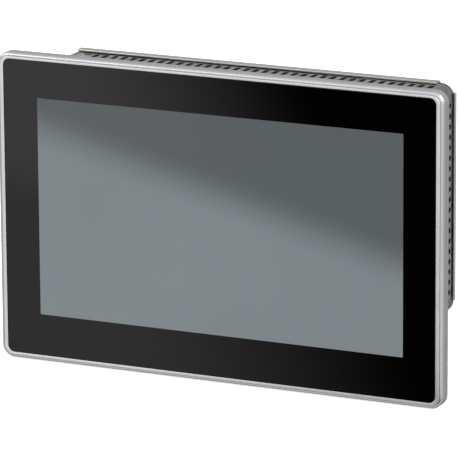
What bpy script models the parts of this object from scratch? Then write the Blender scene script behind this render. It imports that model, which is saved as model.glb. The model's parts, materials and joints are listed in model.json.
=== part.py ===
"""Panel-mounted touch panel: glass front in a metal frame, display stack, and a vented rear housing.

Units are metres, +X is right and +Z is up. The glass faces -Y and the connectors face down (-Z).
The origin is the centre of the whole object's box. Depths are measured back from the front rim.
"""

from math import cos, pi, sin

import bmesh
import bpy

# ---------------------------------------------------------------- driving dimensions
GAP = 0.0003            # air left between neighbouring pieces
CORNER_STEPS = 5        # straight steps in a rounded corner

# Whole object
OVERALL_DEPTH = 0.0495
FRONT_Y = -OVERALL_DEPTH / 2

# Front frame
FRAME_WIDTH = 0.2718
FRAME_HEIGHT = 0.1776
FRAME_RADIUS = 0.0074
FRAME_DEPTH = 0.0082
SIDE_BORDER = 0.0044    # from the outer edge to the glass, left and right
END_BORDER = 0.0036     # the same at the top and the bottom
RIM_INSET = 0.0022      # outer edge of the raised rim around the glass
GROOVE_INSET = 0.0017   # outer edge of the shallow groove beside the rim
GROOVE_DEPTH = 0.0004
SHOULDER_DEPTH = 0.0028
BACK_CHAMFER = 0.0006
POST_RADIUS = 0.0032

# Glass and display: 10.1 inch class, 16:9
GLASS_THICKNESS = 0.0018
GLASS_DEPTH = 0.0003
GLASS_RADIUS = 0.0039
ACTIVE_WIDTH = 0.22272
ACTIVE_HEIGHT = 0.12528
DISPLAY_X = 0.0009
DISPLAY_Z = 0.0014
MODULE_WIDTH = 0.2350
MODULE_HEIGHT = 0.1430

# Depths of the layers behind the glass: (front, back)
ADHESIVE_LAYER = (0.0024, 0.0029)
SENSOR_LAYER = (0.0024, 0.0028)
LEDGE_LAYER = (0.0032, 0.0046)
CELL_LAYER = (0.0031, 0.0043)
BACKLIGHT_LAYER = (0.0049, 0.0094)
SHIELD_LAYER = (0.0097, 0.0105)

# Sealing strip in the back of the frame
GASKET_INSET = 0.00145
GASKET_WIDTH = 0.0030
GASKET_LAYER = (0.0073, 0.0092)

# Chassis tray and vented housing
SHEET = 0.0012
HOUSING_LEFT = -0.1120
HOUSING_RIGHT = 0.1225
HOUSING_TOP = 0.0830
HOUSING_BOTTOM = -0.0470
HOUSING_RADIUS = 0.0080
TRAY_LEFT = -0.1185
TRAY_BOTTOM = -0.0790
TRAY_LAYER = (0.0049, 0.0220)
HOUSING_LAYER = (0.0223, 0.0468)
HOUSING_LIP = 0.0090    # inward flange at each end of the housing's wall

# Ventilation slots
SLOT_PITCH = 0.00585
SLOT_WIDTH = 0.0030
TOP_SLOT_LAYER = (0.0245, 0.0393)
SIDE_SLOT_LAYER = (0.0245, 0.0427)
TOP_SLOTS = 36
TOP_SLOT_START = -0.0912
SIDE_SLOTS = 19
SIDE_SLOT_TOP = 0.0718
LOCATING_SLOT_X = (-0.0990, -0.0942)    # short opening at the left end of the top row
LOCATING_SLOT_LAYER = (0.0356, 0.0376)

# Rear cover
COVER_BACK = 0.0483
COVER_FLANGE_FRONT = {"top": 0.0416, "bottom": 0.0436, "left": 0.0452, "right": 0.0452}
TOP_FLANGE = (-0.1057, 0.1140)
SIDE_FLANGE = (-0.0387, 0.0782)
SCREW_HEAD_HEIGHT = 0.0012

# Main circuit board
BOARD_LAYER = (0.0273, 0.0289)
BOARD_X = (-0.1045, 0.1120)
BOARD_Z = (-0.0445, 0.0670)
BOARD_HOLES = ((-0.1010, 0.0600), (0.1062, 0.0600), (-0.1010, -0.0250), (0.1062, -0.0250))
PARTS_DEPTH = BOARD_LAYER[1] + GAP      # where the parts on the board stand

# Places of the connectors along the housing's underside
EARTH_X = -0.0985
POWER_X = -0.0815
RESET_X = -0.0650
MODE_X = -0.0540
ETHERNET_X = (-0.0340, -0.0150)
USB_X = (0.0045, 0.0215)
SERIAL_X = 0.0500
CARD_X = 0.0890
CONNECTOR_FACE = HOUSING_BOTTOM - 0.0006

# Moving pieces
BUTTON_RADIUS = 0.0020
BUTTON_TRAVEL = 0.0008
KNOB_TRAVEL = 0.0040    # from end to end
HINGE_PIN_RADIUS = 0.0008
HINGE_Z = HOUSING_BOTTOM - 0.0029
FLAP_HINGE_DEPTH = 0.0405

# ---------------------------------------------------------------- materials


def material(name, colour, roughness, metallic=0.0, alpha=1.0):
    """A Principled material, made once for each name."""
    found = bpy.data.materials.get(name)
    if found:
        return found
    made = bpy.data.materials.new(name)
    made.use_nodes = True
    shader = made.node_tree.nodes["Principled BSDF"]
    shader.inputs["Base Color"].default_value = (*colour, 1.0)
    shader.inputs["Roughness"].default_value = roughness
    shader.inputs["Metallic"].default_value = metallic
    shader.inputs["Alpha"].default_value = alpha
    return made


def cast_aluminium():
    return material("cast_aluminium", (0.62, 0.63, 0.64), 0.34, 1.0)


def cover_glass():
    return material("cover_glass", (0.02, 0.02, 0.022), 0.05)


def zinc_sheet():
    return material("zinc_sheet", (0.36, 0.37, 0.38), 0.45, 1.0)


def nickel_sheet():
    return material("nickel_sheet", (0.62, 0.59, 0.54), 0.30, 1.0)


def steel():
    return material("steel", (0.55, 0.55, 0.56), 0.30, 1.0)


def foam_rubber():
    return material("foam_rubber", (0.03, 0.03, 0.03), 0.9)


def black_plastic():
    return material("black_plastic", (0.025, 0.025, 0.027), 0.5)


def green_plastic():
    return material("green_plastic", (0.05, 0.26, 0.12), 0.5)


def board_green():
    return material("board_green", (0.02, 0.14, 0.07), 0.4)


# ---------------------------------------------------------------- shape helpers


def at_depth(depth):
    """World Y of a depth measured back from the front rim."""
    return FRONT_Y + depth


def finish(name, bm, look):
    """Turn a bmesh into an object with outward faces and its material."""
    bmesh.ops.recalc_face_normals(bm, faces=bm.faces)
    mesh = bpy.data.meshes.new(name)
    bm.to_mesh(mesh)
    bm.free()
    obj = bpy.data.objects.new(name, mesh)
    bpy.context.scene.collection.objects.link(obj)
    if look:
        mesh.materials.append(look)
    return obj


def loft(name, rings, look=None):
    """A solid skinned over rings of points, which all have the same count, with flat ends."""
    bm = bmesh.new()
    loops = [[bm.verts.new(point) for point in ring] for ring in rings]
    count = len(rings[0])
    for near, far in zip(loops, loops[1:]):
        for i in range(count):
            j = (i + 1) % count
            bm.faces.new((near[i], near[j], far[j], far[i]))
    bm.faces.new(loops[0][::-1])
    bm.faces.new(loops[-1])
    return finish(name, bm, look)


def box(name, x, depth, z, look=None):
    """A block from its (low, high) pairs; depth is measured from the front rim."""
    rings = []
    for d in depth:
        y = at_depth(d)
        rings.append([(x[0], y, z[0]), (x[1], y, z[0]), (x[1], y, z[1]), (x[0], y, z[1])])
    return loft(name, rings, look)


def block_at(name, x, width, depth, z, look=None):
    """A block centred on x."""
    return box(name, (x - width / 2, x + width / 2), depth, z, look)


def rounded_outline(left, right, bottom, top, radius, steps=CORNER_STEPS):
    """Corner points of a rounded rectangle, anticlockwise in X and Z."""
    centres = (
        (right - radius, bottom + radius, -pi / 2),
        (right - radius, top - radius, 0.0),
        (left + radius, top - radius, pi / 2),
        (left + radius, bottom + radius, pi),
    )
    points = []
    for x, z, start in centres:
        for step in range(steps + 1):
            angle = start + step / steps * pi / 2
            points.append((x + radius * cos(angle), z + radius * sin(angle)))
    return points


def slab(name, outline, depth, look=None):
    """An X-Z outline between two depths."""
    rings = [[(x, at_depth(d), z) for x, z in outline] for d in depth]
    return loft(name, rings, look)


def frame_outline(inset):
    """The frame's outer outline, moved inwards."""
    half_width = FRAME_WIDTH / 2 - inset
    half_height = FRAME_HEIGHT / 2 - inset
    return rounded_outline(-half_width, half_width, -half_height, half_height, FRAME_RADIUS - inset)


def glass_outline(inset):
    """The glass's outline, moved inwards."""
    half_width = FRAME_WIDTH / 2 - SIDE_BORDER - inset
    half_height = FRAME_HEIGHT / 2 - END_BORDER - inset
    return rounded_outline(-half_width, half_width, -half_height, half_height, GLASS_RADIUS - inset)


def housing_outline(inset):
    """The housing's outer outline, moved inwards."""
    return rounded_outline(
        HOUSING_LEFT + inset, HOUSING_RIGHT - inset, HOUSING_BOTTOM + inset, HOUSING_TOP - inset,
        HOUSING_RADIUS - inset,
    )


def tray_outline(inset):
    """The tray's outer outline, moved inwards."""
    return rounded_outline(
        TRAY_LEFT + inset, HOUSING_RIGHT - inset, TRAY_BOTTOM + inset, HOUSING_TOP - inset,
        HOUSING_RADIUS - inset,
    )


def display_outline(width, height, radius=0.0010):
    """A rounded rectangle centred on the display."""
    return rounded_outline(
        DISPLAY_X - width / 2, DISPLAY_X + width / 2,
        DISPLAY_Z - height / 2, DISPLAY_Z + height / 2, radius, 2,
    )


def circle(radius, sides, turn=0.0):
    angles = [turn + 2 * pi * i / sides for i in range(sides)]
    return [(radius * cos(a), radius * sin(a)) for a in angles]


def turned_y(name, x, z, profile, look=None, sides=16):
    """A round solid about a Y axis; the profile is (radius, depth) from front to back."""
    rings = [[(x + a, at_depth(d), z + b) for a, b in circle(r, sides)] for r, d in profile]
    return loft(name, rings, look)


def turned_z(name, x, depth, profile, look=None, sides=16):
    """A round solid about a vertical axis; the profile is (radius, z) from the bottom up."""
    y = at_depth(depth)
    rings = [[(x + a, y + b, z) for a, b in circle(r, sides)] for r, z in profile]
    return loft(name, rings, look)


def turned_x(name, depth, z, profile, look=None, sides=12):
    """A round solid about an X axis; the profile is (radius, x) from left to right."""
    y = at_depth(depth)
    rings = [[(x, y + a, z + b) for a, b in circle(r, sides, pi / sides)] for r, x in profile]
    return loft(name, rings, look)


def combine(target, tool, operation):
    """Boolean of a hidden tool object with the target."""
    tool.hide_render = True
    tool.display_type = "WIRE"
    step = target.modifiers.new(operation.lower(), "BOOLEAN")
    step.operation = operation
    step.solver = "EXACT"
    step.object = tool


def cut(target, *tools):
    for tool in tools:
        combine(target, tool, "DIFFERENCE")


def add(target, *tools):
    for tool in tools:
        combine(target, tool, "UNION")


def many(name, shapes):
    """One cutter object from several separate shapes, each a list of rings."""
    bm = bmesh.new()
    for rings in shapes:
        loops = [[bm.verts.new(point) for point in ring] for ring in rings]
        count = len(rings[0])
        for near, far in zip(loops, loops[1:]):
            for i in range(count):
                j = (i + 1) % count
                bm.faces.new((near[i], near[j], far[j], far[i]))
        bm.faces.new(loops[0][::-1])
        bm.faces.new(loops[-1])
    return finish(name, bm, None)


def ribbon(name, x, width, path, thickness, look):
    """A flat flexible cable: a path of (depth, z) points swept along X and given a thickness."""
    rings = []
    for side in (x - width / 2, x + width / 2):
        near = [(side, at_depth(d), z) for d, z in path]
        far = [(side, at_depth(d) + thickness, z + thickness) for d, z in reversed(path)]
        rings.append(near + far)
    return loft(name, rings, look)


# ---------------------------------------------------------------- front frame and glass


def screw_posts():
    """X and Z of the four posts that take the chassis screws."""
    upper = HOUSING_TOP - 0.0054
    lower = TRAY_BOTTOM + 0.0048
    return ((-0.1000, upper), (0.1040, upper), (-0.1000, lower), (0.1040, lower))


def front_frame():
    """Cast frame: raised rim, groove and rounded shoulder in front, ledge and posts behind."""
    shoulder = []
    for step in range(4):
        angle = step / 3 * pi / 2
        inset = GROOVE_INSET * (1 - sin(angle))
        depth = SHOULDER_DEPTH - (SHOULDER_DEPTH - GROOVE_DEPTH / 2) * cos(angle)
        shoulder.append((inset, depth))
    profile = [(RIM_INSET, 0.0), (RIM_INSET, GROOVE_DEPTH), (GROOVE_INSET, GROOVE_DEPTH)]
    profile += shoulder
    profile += [(0.0, FRAME_DEPTH - BACK_CHAMFER), (BACK_CHAMFER, FRAME_DEPTH)]
    rings = [[(x, at_depth(d), z) for x, z in frame_outline(inset)] for inset, d in profile]
    frame = loft("front_frame", rings, cast_aluminium())

    pocket = slab("cut_glass_pocket", glass_outline(-GAP), (-0.002, LEDGE_LAYER[0]))
    window = slab(
        "cut_display_window",
        display_outline(MODULE_WIDTH + 2 * GAP, MODULE_HEIGHT + 2 * GAP),
        (0.001, FRAME_DEPTH + 0.001),
    )
    recess = slab(
        "cut_tray_recess", tray_outline(-GAP), (LEDGE_LAYER[1], FRAME_DEPTH + 0.002)
    )
    cut(frame, pocket, window, recess, gasket_groove())

    for number, (x, z) in enumerate(screw_posts()):
        profile = [(POST_RADIUS, LEDGE_LAYER[0] + 0.0004), (POST_RADIUS, TRAY_LAYER[1] - SHEET - GAP)]
        add(frame, turned_y(f"add_post_{number}", x, z, profile, sides=12))
        hole = [(0.0017, LEDGE_LAYER[1] + 0.002), (0.0017, TRAY_LAYER[1])]
        cut(frame, turned_y(f"cut_post_{number}", x, z, hole, sides=8))
    return frame


def gasket_groove():
    """Ring-shaped cutter for the groove in the back of the frame."""
    depth = (GASKET_LAYER[0] - GAP, FRAME_DEPTH + 0.001)
    ring = slab("cut_gasket_groove", frame_outline(GASKET_INSET - GAP), depth)
    core = slab(
        "cut_gasket_core", frame_outline(GASKET_INSET + GASKET_WIDTH + GAP),
        (depth[0] - 0.001, depth[1] + 0.001),
    )
    cut(ring, core)
    return ring


def panel_gasket():
    """Foam strip that seals the frame against the cabinet's door."""
    strip = slab("panel_gasket", frame_outline(GASKET_INSET), GASKET_LAYER, foam_rubber())
    hole = slab(
        "cut_gasket_middle", frame_outline(GASKET_INSET + GASKET_WIDTH),
        (GASKET_LAYER[0] - 0.001, GASKET_LAYER[1] + 0.001),
    )
    cut(strip, hole)


def front_glass():
    depth = (GLASS_DEPTH, GLASS_DEPTH + GLASS_THICKNESS)
    chamfer = 0.0003
    rings = []
    for inset, d in ((chamfer, depth[0]), (0.0, depth[0] + chamfer), (0.0, depth[1])):
        outline = glass_outline(inset)
        rings.append([(x, at_depth(d), z) for x, z in outline])
    loft("front_glass", rings, cover_glass())


def glass_adhesive():
    """Double-sided tape between the glass and the frame's ledge."""
    tape = slab("glass_adhesive", glass_outline(0.001), ADHESIVE_LAYER, foam_rubber())
    middle = slab(
        "cut_adhesive_middle", display_outline(MODULE_WIDTH + 0.002, MODULE_HEIGHT + 0.002),
        (ADHESIVE_LAYER[0] - 0.001, ADHESIVE_LAYER[1] + 0.001),
    )
    cut(tape, middle)


def display_stack():
    """Touch sensor, liquid crystal cell, backlight and the shield behind them."""
    sensor = display_outline(MODULE_WIDTH, MODULE_HEIGHT)
    slab("touch_sensor", sensor, SENSOR_LAYER, material("sensor_film", (0.05, 0.05, 0.055), 0.2))
    cell = display_outline(ACTIVE_WIDTH + 0.006, ACTIVE_HEIGHT + 0.008)
    slab("display_panel", cell, CELL_LAYER, material("display_face", (0.10, 0.11, 0.115), 0.15))
    module = display_outline(MODULE_WIDTH - 0.0006, MODULE_HEIGHT - 0.0006)
    slab("backlight_unit", module, BACKLIGHT_LAYER, material("light_guide", (0.80, 0.80, 0.78), 0.4))
    slab("display_shield", module, SHIELD_LAYER, steel())


def display_bracket(name, edge, outward):
    """L-shaped strip that clamps the module's edge back to the frame's ledge."""
    x = (DISPLAY_X - 0.085, DISPLAY_X + 0.085)
    wall = sorted((edge + outward * GAP * 2, edge + outward * 0.0018))
    grip = sorted((edge - outward * 0.0040, edge + outward * 0.0018))
    strip = box(name, x, (LEDGE_LAYER[1] + GAP, SHIELD_LAYER[1] + 0.0015), wall, steel())
    foot = box("add_" + name, x, (SHIELD_LAYER[1] + GAP, SHIELD_LAYER[1] + 0.0015), grip)
    add(strip, foot)


# ---------------------------------------------------------------- chassis tray


def clamp_slots():
    """Cutter for the slots that the mounting clamps hook into, around the tray's wall."""
    depth = (0.0125, 0.0155)
    length = 0.0140
    reach = 0.0030
    shapes = []
    for x in (-0.0800, 0.0020, 0.0840):
        for z in (HOUSING_TOP, TRAY_BOTTOM):
            ring = ((x - length / 2, z - reach), (x + length / 2, z - reach),
                    (x + length / 2, z + reach), (x - length / 2, z + reach))
            shapes.append([[(a, at_depth(d), b) for a, b in ring] for d in depth])
    for x in (TRAY_LEFT, HOUSING_RIGHT):
        for z in (-0.0520, 0.0560):
            ring = ((x - reach, z - length / 2), (x + reach, z - length / 2),
                    (x + reach, z + length / 2), (x - reach, z + length / 2))
            shapes.append([[(a, at_depth(d), b) for a, b in ring] for d in depth])
    return many("cut_clamp_slots", shapes)


def chassis_tray():
    """Shallow steel tray over the display; the board stands on its back plate."""
    front, back = TRAY_LAYER
    tray = slab("chassis_tray", tray_outline(0.0), TRAY_LAYER, zinc_sheet())
    inside = slab("cut_tray_inside", tray_outline(SHEET), (front - 0.001, back - SHEET))
    cable = box("cut_tray_cable", (0.020, 0.056), (back - 0.004, back + 0.001), (0.026, 0.040))
    cut(tray, inside, cable, clamp_slots())
    for number, (x, z) in enumerate(screw_posts()):
        hole = [(0.0018, back - 0.004), (0.0018, back + 0.001)]
        cut(tray, turned_y(f"cut_tray_screw_{number}", x, z, hole, sides=8))


def chassis_screws():
    """The upper pair also clamps the housing's front lip."""
    for number, (x, z) in enumerate(screw_posts(), 1):
        seat = TRAY_LAYER[1] if z < 0 else HOUSING_LAYER[0] + SHEET
        profile = [
            (0.0013, 0.0110), (0.0013, seat + GAP), (0.0028, seat + GAP),
            (0.0028, seat + 0.0012), (0.0020, seat + 0.0018),
        ]
        turned_y(f"chassis_screw_{number}", x, z, profile, steel(), 12)


def touch_electronics():
    """Touch controller board in the tray, with the flexible tail that comes down from the sensor."""
    box("touch_board", (-0.020, 0.030), (0.0165, 0.0177), (-0.0700, -0.0480), board_green())
    edge = DISPLAY_Z - ACTIVE_HEIGHT / 2 - 0.0060
    path = [
        (SENSOR_LAYER[1] + GAP, edge + 0.0015), (SENSOR_LAYER[1] + GAP, edge - 0.0006),
        (0.0040, edge - 0.0012), (0.0046, edge - 0.0012),
    ]
    amber = material("flex_amber", (0.55, 0.30, 0.06), 0.35)
    ribbon("touch_flex", 0.005, 0.020, path, 0.0002, amber)


def display_cable():
    """Flat cable from the display through the tray's opening to the main board."""
    path = [
        (0.0112, 0.0500), (0.0112, 0.0400), (0.0135, 0.0345), (0.0180, 0.0335),
        (0.0235, 0.0330), (0.0255, 0.0300), (0.0260, 0.0220),
    ]
    ribbon("display_cable", 0.038, 0.026, path, 0.0003, material("cable_white", (0.78, 0.77, 0.73), 0.5))


# ---------------------------------------------------------------- main board


def main_board():
    board = box("main_board", BOARD_X, BOARD_LAYER, BOARD_Z, board_green())
    for number, (x, z) in enumerate(BOARD_HOLES):
        hole = [(0.0018, BOARD_LAYER[0] - 0.001), (0.0018, BOARD_LAYER[1] + 0.001)]
        cut(board, turned_y(f"cut_board_{number}", x, z, hole, sides=8))


def board_fixings():
    """A threaded standoff and a screw at each corner hole of the board."""
    for number, (x, z) in enumerate(BOARD_HOLES, 1):
        base = TRAY_LAYER[1] + GAP
        top = BOARD_LAYER[0] - GAP
        post = turned_y(
            f"board_standoff_{number}", x, z, [(0.0028, base), (0.0028, top)], steel(), 6
        )
        cut(post, turned_y(f"cut_standoff_{number}", x, z, [(0.0018, base + 0.001), (0.0018, top + 0.001)],
                           sides=8))
        seat = BOARD_LAYER[1] + GAP
        profile = [
            (0.0014, base + 0.0016), (0.0014, seat), (0.0028, seat), (0.0028, seat + 0.0011),
            (0.0020, seat + 0.0017),
        ]
        turned_y(f"board_screw_{number}", x, z, profile, steel(), 12)


def processor_group():
    """Processor, thermal pad and finned heat sink, stacked on the board."""
    x, z = -0.010, 0.022
    chip = (PARTS_DEPTH, PARTS_DEPTH + 0.0016)
    pad = (chip[1] + GAP, chip[1] + GAP + 0.0008)
    base = (pad[1] + GAP, pad[1] + GAP + 0.0025)
    block_at("processor", x, 0.019, chip, (z - 0.0095, z + 0.0095), black_plastic())
    grey = material("pad_grey", (0.35, 0.38, 0.42), 0.8)
    block_at("thermal_pad", x, 0.022, pad, (z - 0.011, z + 0.011), grey)
    sink = block_at("heat_sink", x, 0.062, (base[0], base[0] + 0.0115), (z - 0.025, z + 0.025),
                    cast_aluminium())
    shapes = []
    fins = 10
    pitch = 0.062 / fins
    for i in range(fins):
        left = x - 0.031 + i * pitch + 0.0010
        right = left + pitch - 0.0020
        ring = ((left, z - 0.03), (right, z - 0.03), (right, z + 0.03), (left, z + 0.03))
        shapes.append([[(a, at_depth(d), b) for a, b in ring] for d in (base[1], base[0] + 0.02)])
    cut(sink, many("cut_heat_sink_fins", shapes))


def coin_cell():
    """Clock battery in its holder."""
    x, z = 0.055, 0.045
    holder = block_at("coin_cell_holder", x, 0.0245, (PARTS_DEPTH, PARTS_DEPTH + 0.0048),
                      (z - 0.0125, z + 0.0125), black_plastic())
    well = turned_y("cut_cell_well", x, z, [(0.0104, PARTS_DEPTH + 0.0010), (0.0104, PARTS_DEPTH + 0.01)],
                    sides=24)
    cut(holder, well)
    turned_y("coin_cell", x, z, [(0.0100, PARTS_DEPTH + 0.0013), (0.0100, PARTS_DEPTH + 0.0045)],
             steel(), 24)


# ---------------------------------------------------------------- connectors on the underside


def power_connector():
    """Three-pole header on the board, and the pluggable terminal block that pulls out downwards."""
    depth = (PARTS_DEPTH, PARTS_DEPTH + 0.0120)
    inner = (depth[0] + 0.0010, depth[1] - 0.0010)
    header = block_at("power_header", POWER_X, 0.0200, depth, (CONNECTOR_FACE, -0.0345), green_plastic())
    well = block_at("cut_power_well", POWER_X, 0.0180, inner, (CONNECTOR_FACE - 0.002, -0.0365))
    cut(header, well)

    neck_depth = (inner[0] + GAP, inner[1] - GAP)
    neck = block_at("power_plug", POWER_X, 0.0174, neck_depth, (-0.0560, -0.0370), green_plastic())
    head = block_at("add_plug_head", POWER_X, 0.0174, (neck_depth[0], depth[1] + 0.0020),
                    (-0.0580, CONNECTOR_FACE - 0.0008))
    add(neck, head)
    for pole in (-1, 0, 1):
        x = POWER_X + pole * 0.00508
        entry = block_at(f"cut_wire_{pole + 1}", x, 0.0032, (neck_depth[0] + 0.0015, neck_depth[0] + 0.0047),
                         (-0.0590, -0.0520))
        screw = turned_y(f"cut_clamp_screw_{pole + 1}", x, -0.0530,
                         [(0.0017, depth[1]), (0.0017, depth[1] + 0.0050)], sides=10)
        cut(neck, entry, screw)


def ethernet_port(number, x):
    """Network socket with its opening facing down."""
    depth = (PARTS_DEPTH, PARTS_DEPTH + 0.0135)
    port = block_at(f"ethernet_port_{number}", x, 0.0160, depth, (CONNECTOR_FACE, -0.0300), steel())
    mouth = block_at(f"cut_ethernet_{number}", x, 0.0119, (depth[0] + 0.0022, depth[0] + 0.0092),
                     (CONNECTOR_FACE - 0.001, -0.0345))
    key = block_at(f"cut_ethernet_key_{number}", x, 0.0062, (depth[0] + 0.0080, depth[0] + 0.0118),
                   (CONNECTOR_FACE - 0.001, -0.0350))
    cut(port, mouth, key)


def usb_port(number, x):
    """Host socket: a thin shell around a tongue."""
    depth = (PARTS_DEPTH, PARTS_DEPTH + 0.0060)
    port = block_at(f"usb_port_{number}", x, 0.0134, depth, (CONNECTOR_FACE, -0.0330), steel())
    mouth = block_at(f"cut_usb_{number}", x, 0.0124, (depth[0] + 0.0005, depth[1] - 0.0005),
                     (CONNECTOR_FACE - 0.001, -0.0370))
    tongue = block_at(f"add_usb_tongue_{number}", x, 0.0112, (depth[1] - 0.0028, depth[1] - 0.0010),
                      (CONNECTOR_FACE + 0.0006, -0.0360))
    cut(port, mouth)
    add(port, tongue)


def serial_outline(half_top, half_bottom, low, high):
    """D-shaped outline as (x, depth) points."""
    return [
        (SERIAL_X - half_bottom, low), (SERIAL_X + half_bottom, low),
        (SERIAL_X + half_top, high), (SERIAL_X - half_top, high),
    ]


def serial_port():
    """Nine-pole D connector: body inside, flange on the wall, shell below it."""
    middle = PARTS_DEPTH + 0.0063
    body = block_at("serial_port", SERIAL_X, 0.0190, (PARTS_DEPTH, middle + 0.0050),
                    (HOUSING_BOTTOM - 0.0006, -0.0340), steel())
    flange = block_at("add_serial_flange", SERIAL_X, 0.0308, (middle - 0.0061, middle + 0.0061),
                      (HOUSING_BOTTOM - 0.0013, HOUSING_BOTTOM - GAP))
    outline = serial_outline(0.0084, 0.0076, middle - 0.0040, middle + 0.0040)
    rings = [[(x, at_depth(d), z) for x, d in outline]
             for z in (HOUSING_BOTTOM - 0.0068, HOUSING_BOTTOM - 0.0008)]
    shell = loft("add_serial_shell", rings)
    add(body, flange, shell)
    for number, side in enumerate((-1, 1), 1):
        nut = turned_z(f"jackscrew_{number}", SERIAL_X + side * 0.0125, middle,
                       [(0.0027, HOUSING_BOTTOM - 0.0066), (0.0027, HOUSING_BOTTOM - 0.0016)],
                       steel(), 6)
        hole = turned_z(f"cut_jackscrew_{number}", SERIAL_X + side * 0.0125, middle,
                        [(0.0012, HOUSING_BOTTOM - 0.0080), (0.0012, HOUSING_BOTTOM - 0.0030)],
                        sides=8)
        cut(nut, hole)


def card_slot():
    """Memory card socket, and the door in front of it: frame, flap and hinge pin."""
    socket = block_at("card_socket", CARD_X, 0.0270, (PARTS_DEPTH, PARTS_DEPTH + 0.0032),
                      (HOUSING_BOTTOM + 0.0018, -0.0170), steel())
    cut(socket, block_at("cut_card_socket", CARD_X, 0.0245, (PARTS_DEPTH + 0.0005, PARTS_DEPTH + 0.0027),
                         (HOUSING_BOTTOM, -0.0200)))

    face = (HOUSING_BOTTOM - 0.0013, HOUSING_BOTTOM - GAP)
    frame = block_at("card_door_frame", CARD_X, 0.0390, (0.0270, FLAP_HINGE_DEPTH + 0.0024), face,
                     black_plastic())
    through = (face[0] - 0.001, face[1] + 0.001)
    cut(frame, block_at("cut_card_door", CARD_X, 0.0280, (0.0285, 0.0342), through))
    for number, side in enumerate((-1, 1)):
        x = CARD_X + side * 0.0180
        ear = block_at(f"add_card_ear_{number}", x, 0.0022,
                       (FLAP_HINGE_DEPTH - 0.0018, FLAP_HINGE_DEPTH + 0.0018),
                       (HINGE_Z - 0.0018, face[1] - 0.0002))
        add(frame, ear)
    length = 0.0200
    clear = HINGE_PIN_RADIUS + 0.0001
    cut(frame, turned_x("cut_card_ears", FLAP_HINGE_DEPTH, HINGE_Z,
                        [(clear, CARD_X - length), (clear, CARD_X + length)]))

    plate = (face[0] - GAP - 0.0016, face[0] - GAP)
    flap = block_at("card_flap", CARD_X, 0.0330, (0.0275, FLAP_HINGE_DEPTH), plate, black_plastic())
    reach = 0.0166
    knuckle = turned_x("add_flap_knuckle", FLAP_HINGE_DEPTH, HINGE_Z,
                       [(0.0016, CARD_X - reach + 0.0001), (0.0016, CARD_X + reach - 0.0001)])
    add(flap, knuckle)
    cut(flap, turned_x("cut_flap_bore", FLAP_HINGE_DEPTH, HINGE_Z,
                       [(clear, CARD_X - length), (clear, CARD_X + length)]))
    pin = HINGE_PIN_RADIUS
    turned_x("card_hinge_pin", FLAP_HINGE_DEPTH, HINGE_Z,
             [(pin, CARD_X - 0.0190), (pin, CARD_X + 0.0190)], steel())


def reset_group():
    """Push button held in its hole by an inner collar, with the switch above it."""
    depth = 0.0340
    inner = HOUSING_BOTTOM + SHEET
    profile = [
        (BUTTON_RADIUS - 0.0003, HOUSING_BOTTOM - 0.0011), (BUTTON_RADIUS, HOUSING_BOTTOM - 0.0008),
        (BUTTON_RADIUS, inner + GAP), (0.0028, inner + GAP), (0.0028, inner + 0.0010),
        (0.0012, inner + 0.0010), (0.0012, inner + 0.0018),
    ]
    turned_z("reset_button", RESET_X, depth, profile, black_plastic())
    base = inner + 0.0018 + BUTTON_TRAVEL + GAP
    block_at("reset_switch", RESET_X, 0.0060, (PARTS_DEPTH, PARTS_DEPTH + 0.0070), (base, base + 0.0060),
             black_plastic())


def mode_group():
    """Slide switch: the knob moves along X in a slot in the wall."""
    inner = HOUSING_BOTTOM + SHEET
    depth = (0.0328, 0.0352)
    knob = block_at("mode_switch_knob", MODE_X, 0.0024, depth, (HOUSING_BOTTOM - 0.0014, inner + 0.0008),
                    black_plastic())
    plate = block_at("add_knob_plate", MODE_X, 0.0044, (depth[0] - 0.0009, depth[1] + 0.0009),
                     (inner + GAP, inner + 0.0012))
    add(knob, plate)
    block_at("mode_switch_body", MODE_X, 0.0110, (PARTS_DEPTH, PARTS_DEPTH + 0.0075),
             (inner + 0.0015, inner + 0.0075), steel())


def earth_screw():
    """Hexagon-headed screw for the earth lead, with its shank through the housing's wall."""
    depth = 0.0350
    base = HOUSING_BOTTOM - GAP
    washer = turned_z("earth_screw", EARTH_X, depth,
                      [(0.0042, base - 0.0009), (0.0042, base), (0.0019, base), (0.0019, base + 0.0080)],
                      steel(), 16)
    add(washer, turned_z("add_earth_head", EARTH_X, depth, [(0.0035, base - 0.0038), (0.0035, base - 0.0007)],
                         sides=6))


# ---------------------------------------------------------------- housing and cover


def vent_slot(layer, corners_of):
    """Rings of one slot with clipped corners; corners_of turns (across, depth, through) into a point."""
    half = SLOT_WIDTH / 2
    clip = half * 0.6
    front, back = layer
    outline = (
        (-half, front + clip), (-half + clip, front), (half - clip, front), (half, front + clip),
        (half, back - clip), (half - clip, back), (-half + clip, back), (-half, back - clip),
    )
    return [[corners_of(across, at_depth(d), through) for across, d in outline]
            for through in (-0.003, 0.003)]


def vent_slots():
    """Cutter for the rows of slots in the housing's top and side walls."""
    shapes = []
    for i in range(TOP_SLOTS):
        x = TOP_SLOT_START + i * SLOT_PITCH
        shapes.append(vent_slot(TOP_SLOT_LAYER, lambda a, y, t, x=x: (x + a, y, HOUSING_TOP + t)))
    for i in range(SIDE_SLOTS):
        z = SIDE_SLOT_TOP - i * SLOT_PITCH
        for wall in (HOUSING_LEFT, HOUSING_RIGHT):
            shapes.append(vent_slot(SIDE_SLOT_LAYER, lambda a, y, t, z=z, wall=wall: (wall + t, y, z + a)))
    left, right = LOCATING_SLOT_X
    front, back = (at_depth(d) for d in LOCATING_SLOT_LAYER)
    corners = ((left, front), (right, front), (right, back), (left, back))
    shapes.append([[(x, y, HOUSING_TOP + t) for x, y in corners] for t in (-0.003, 0.003)])
    return many("cut_vent_slots", shapes)


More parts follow.
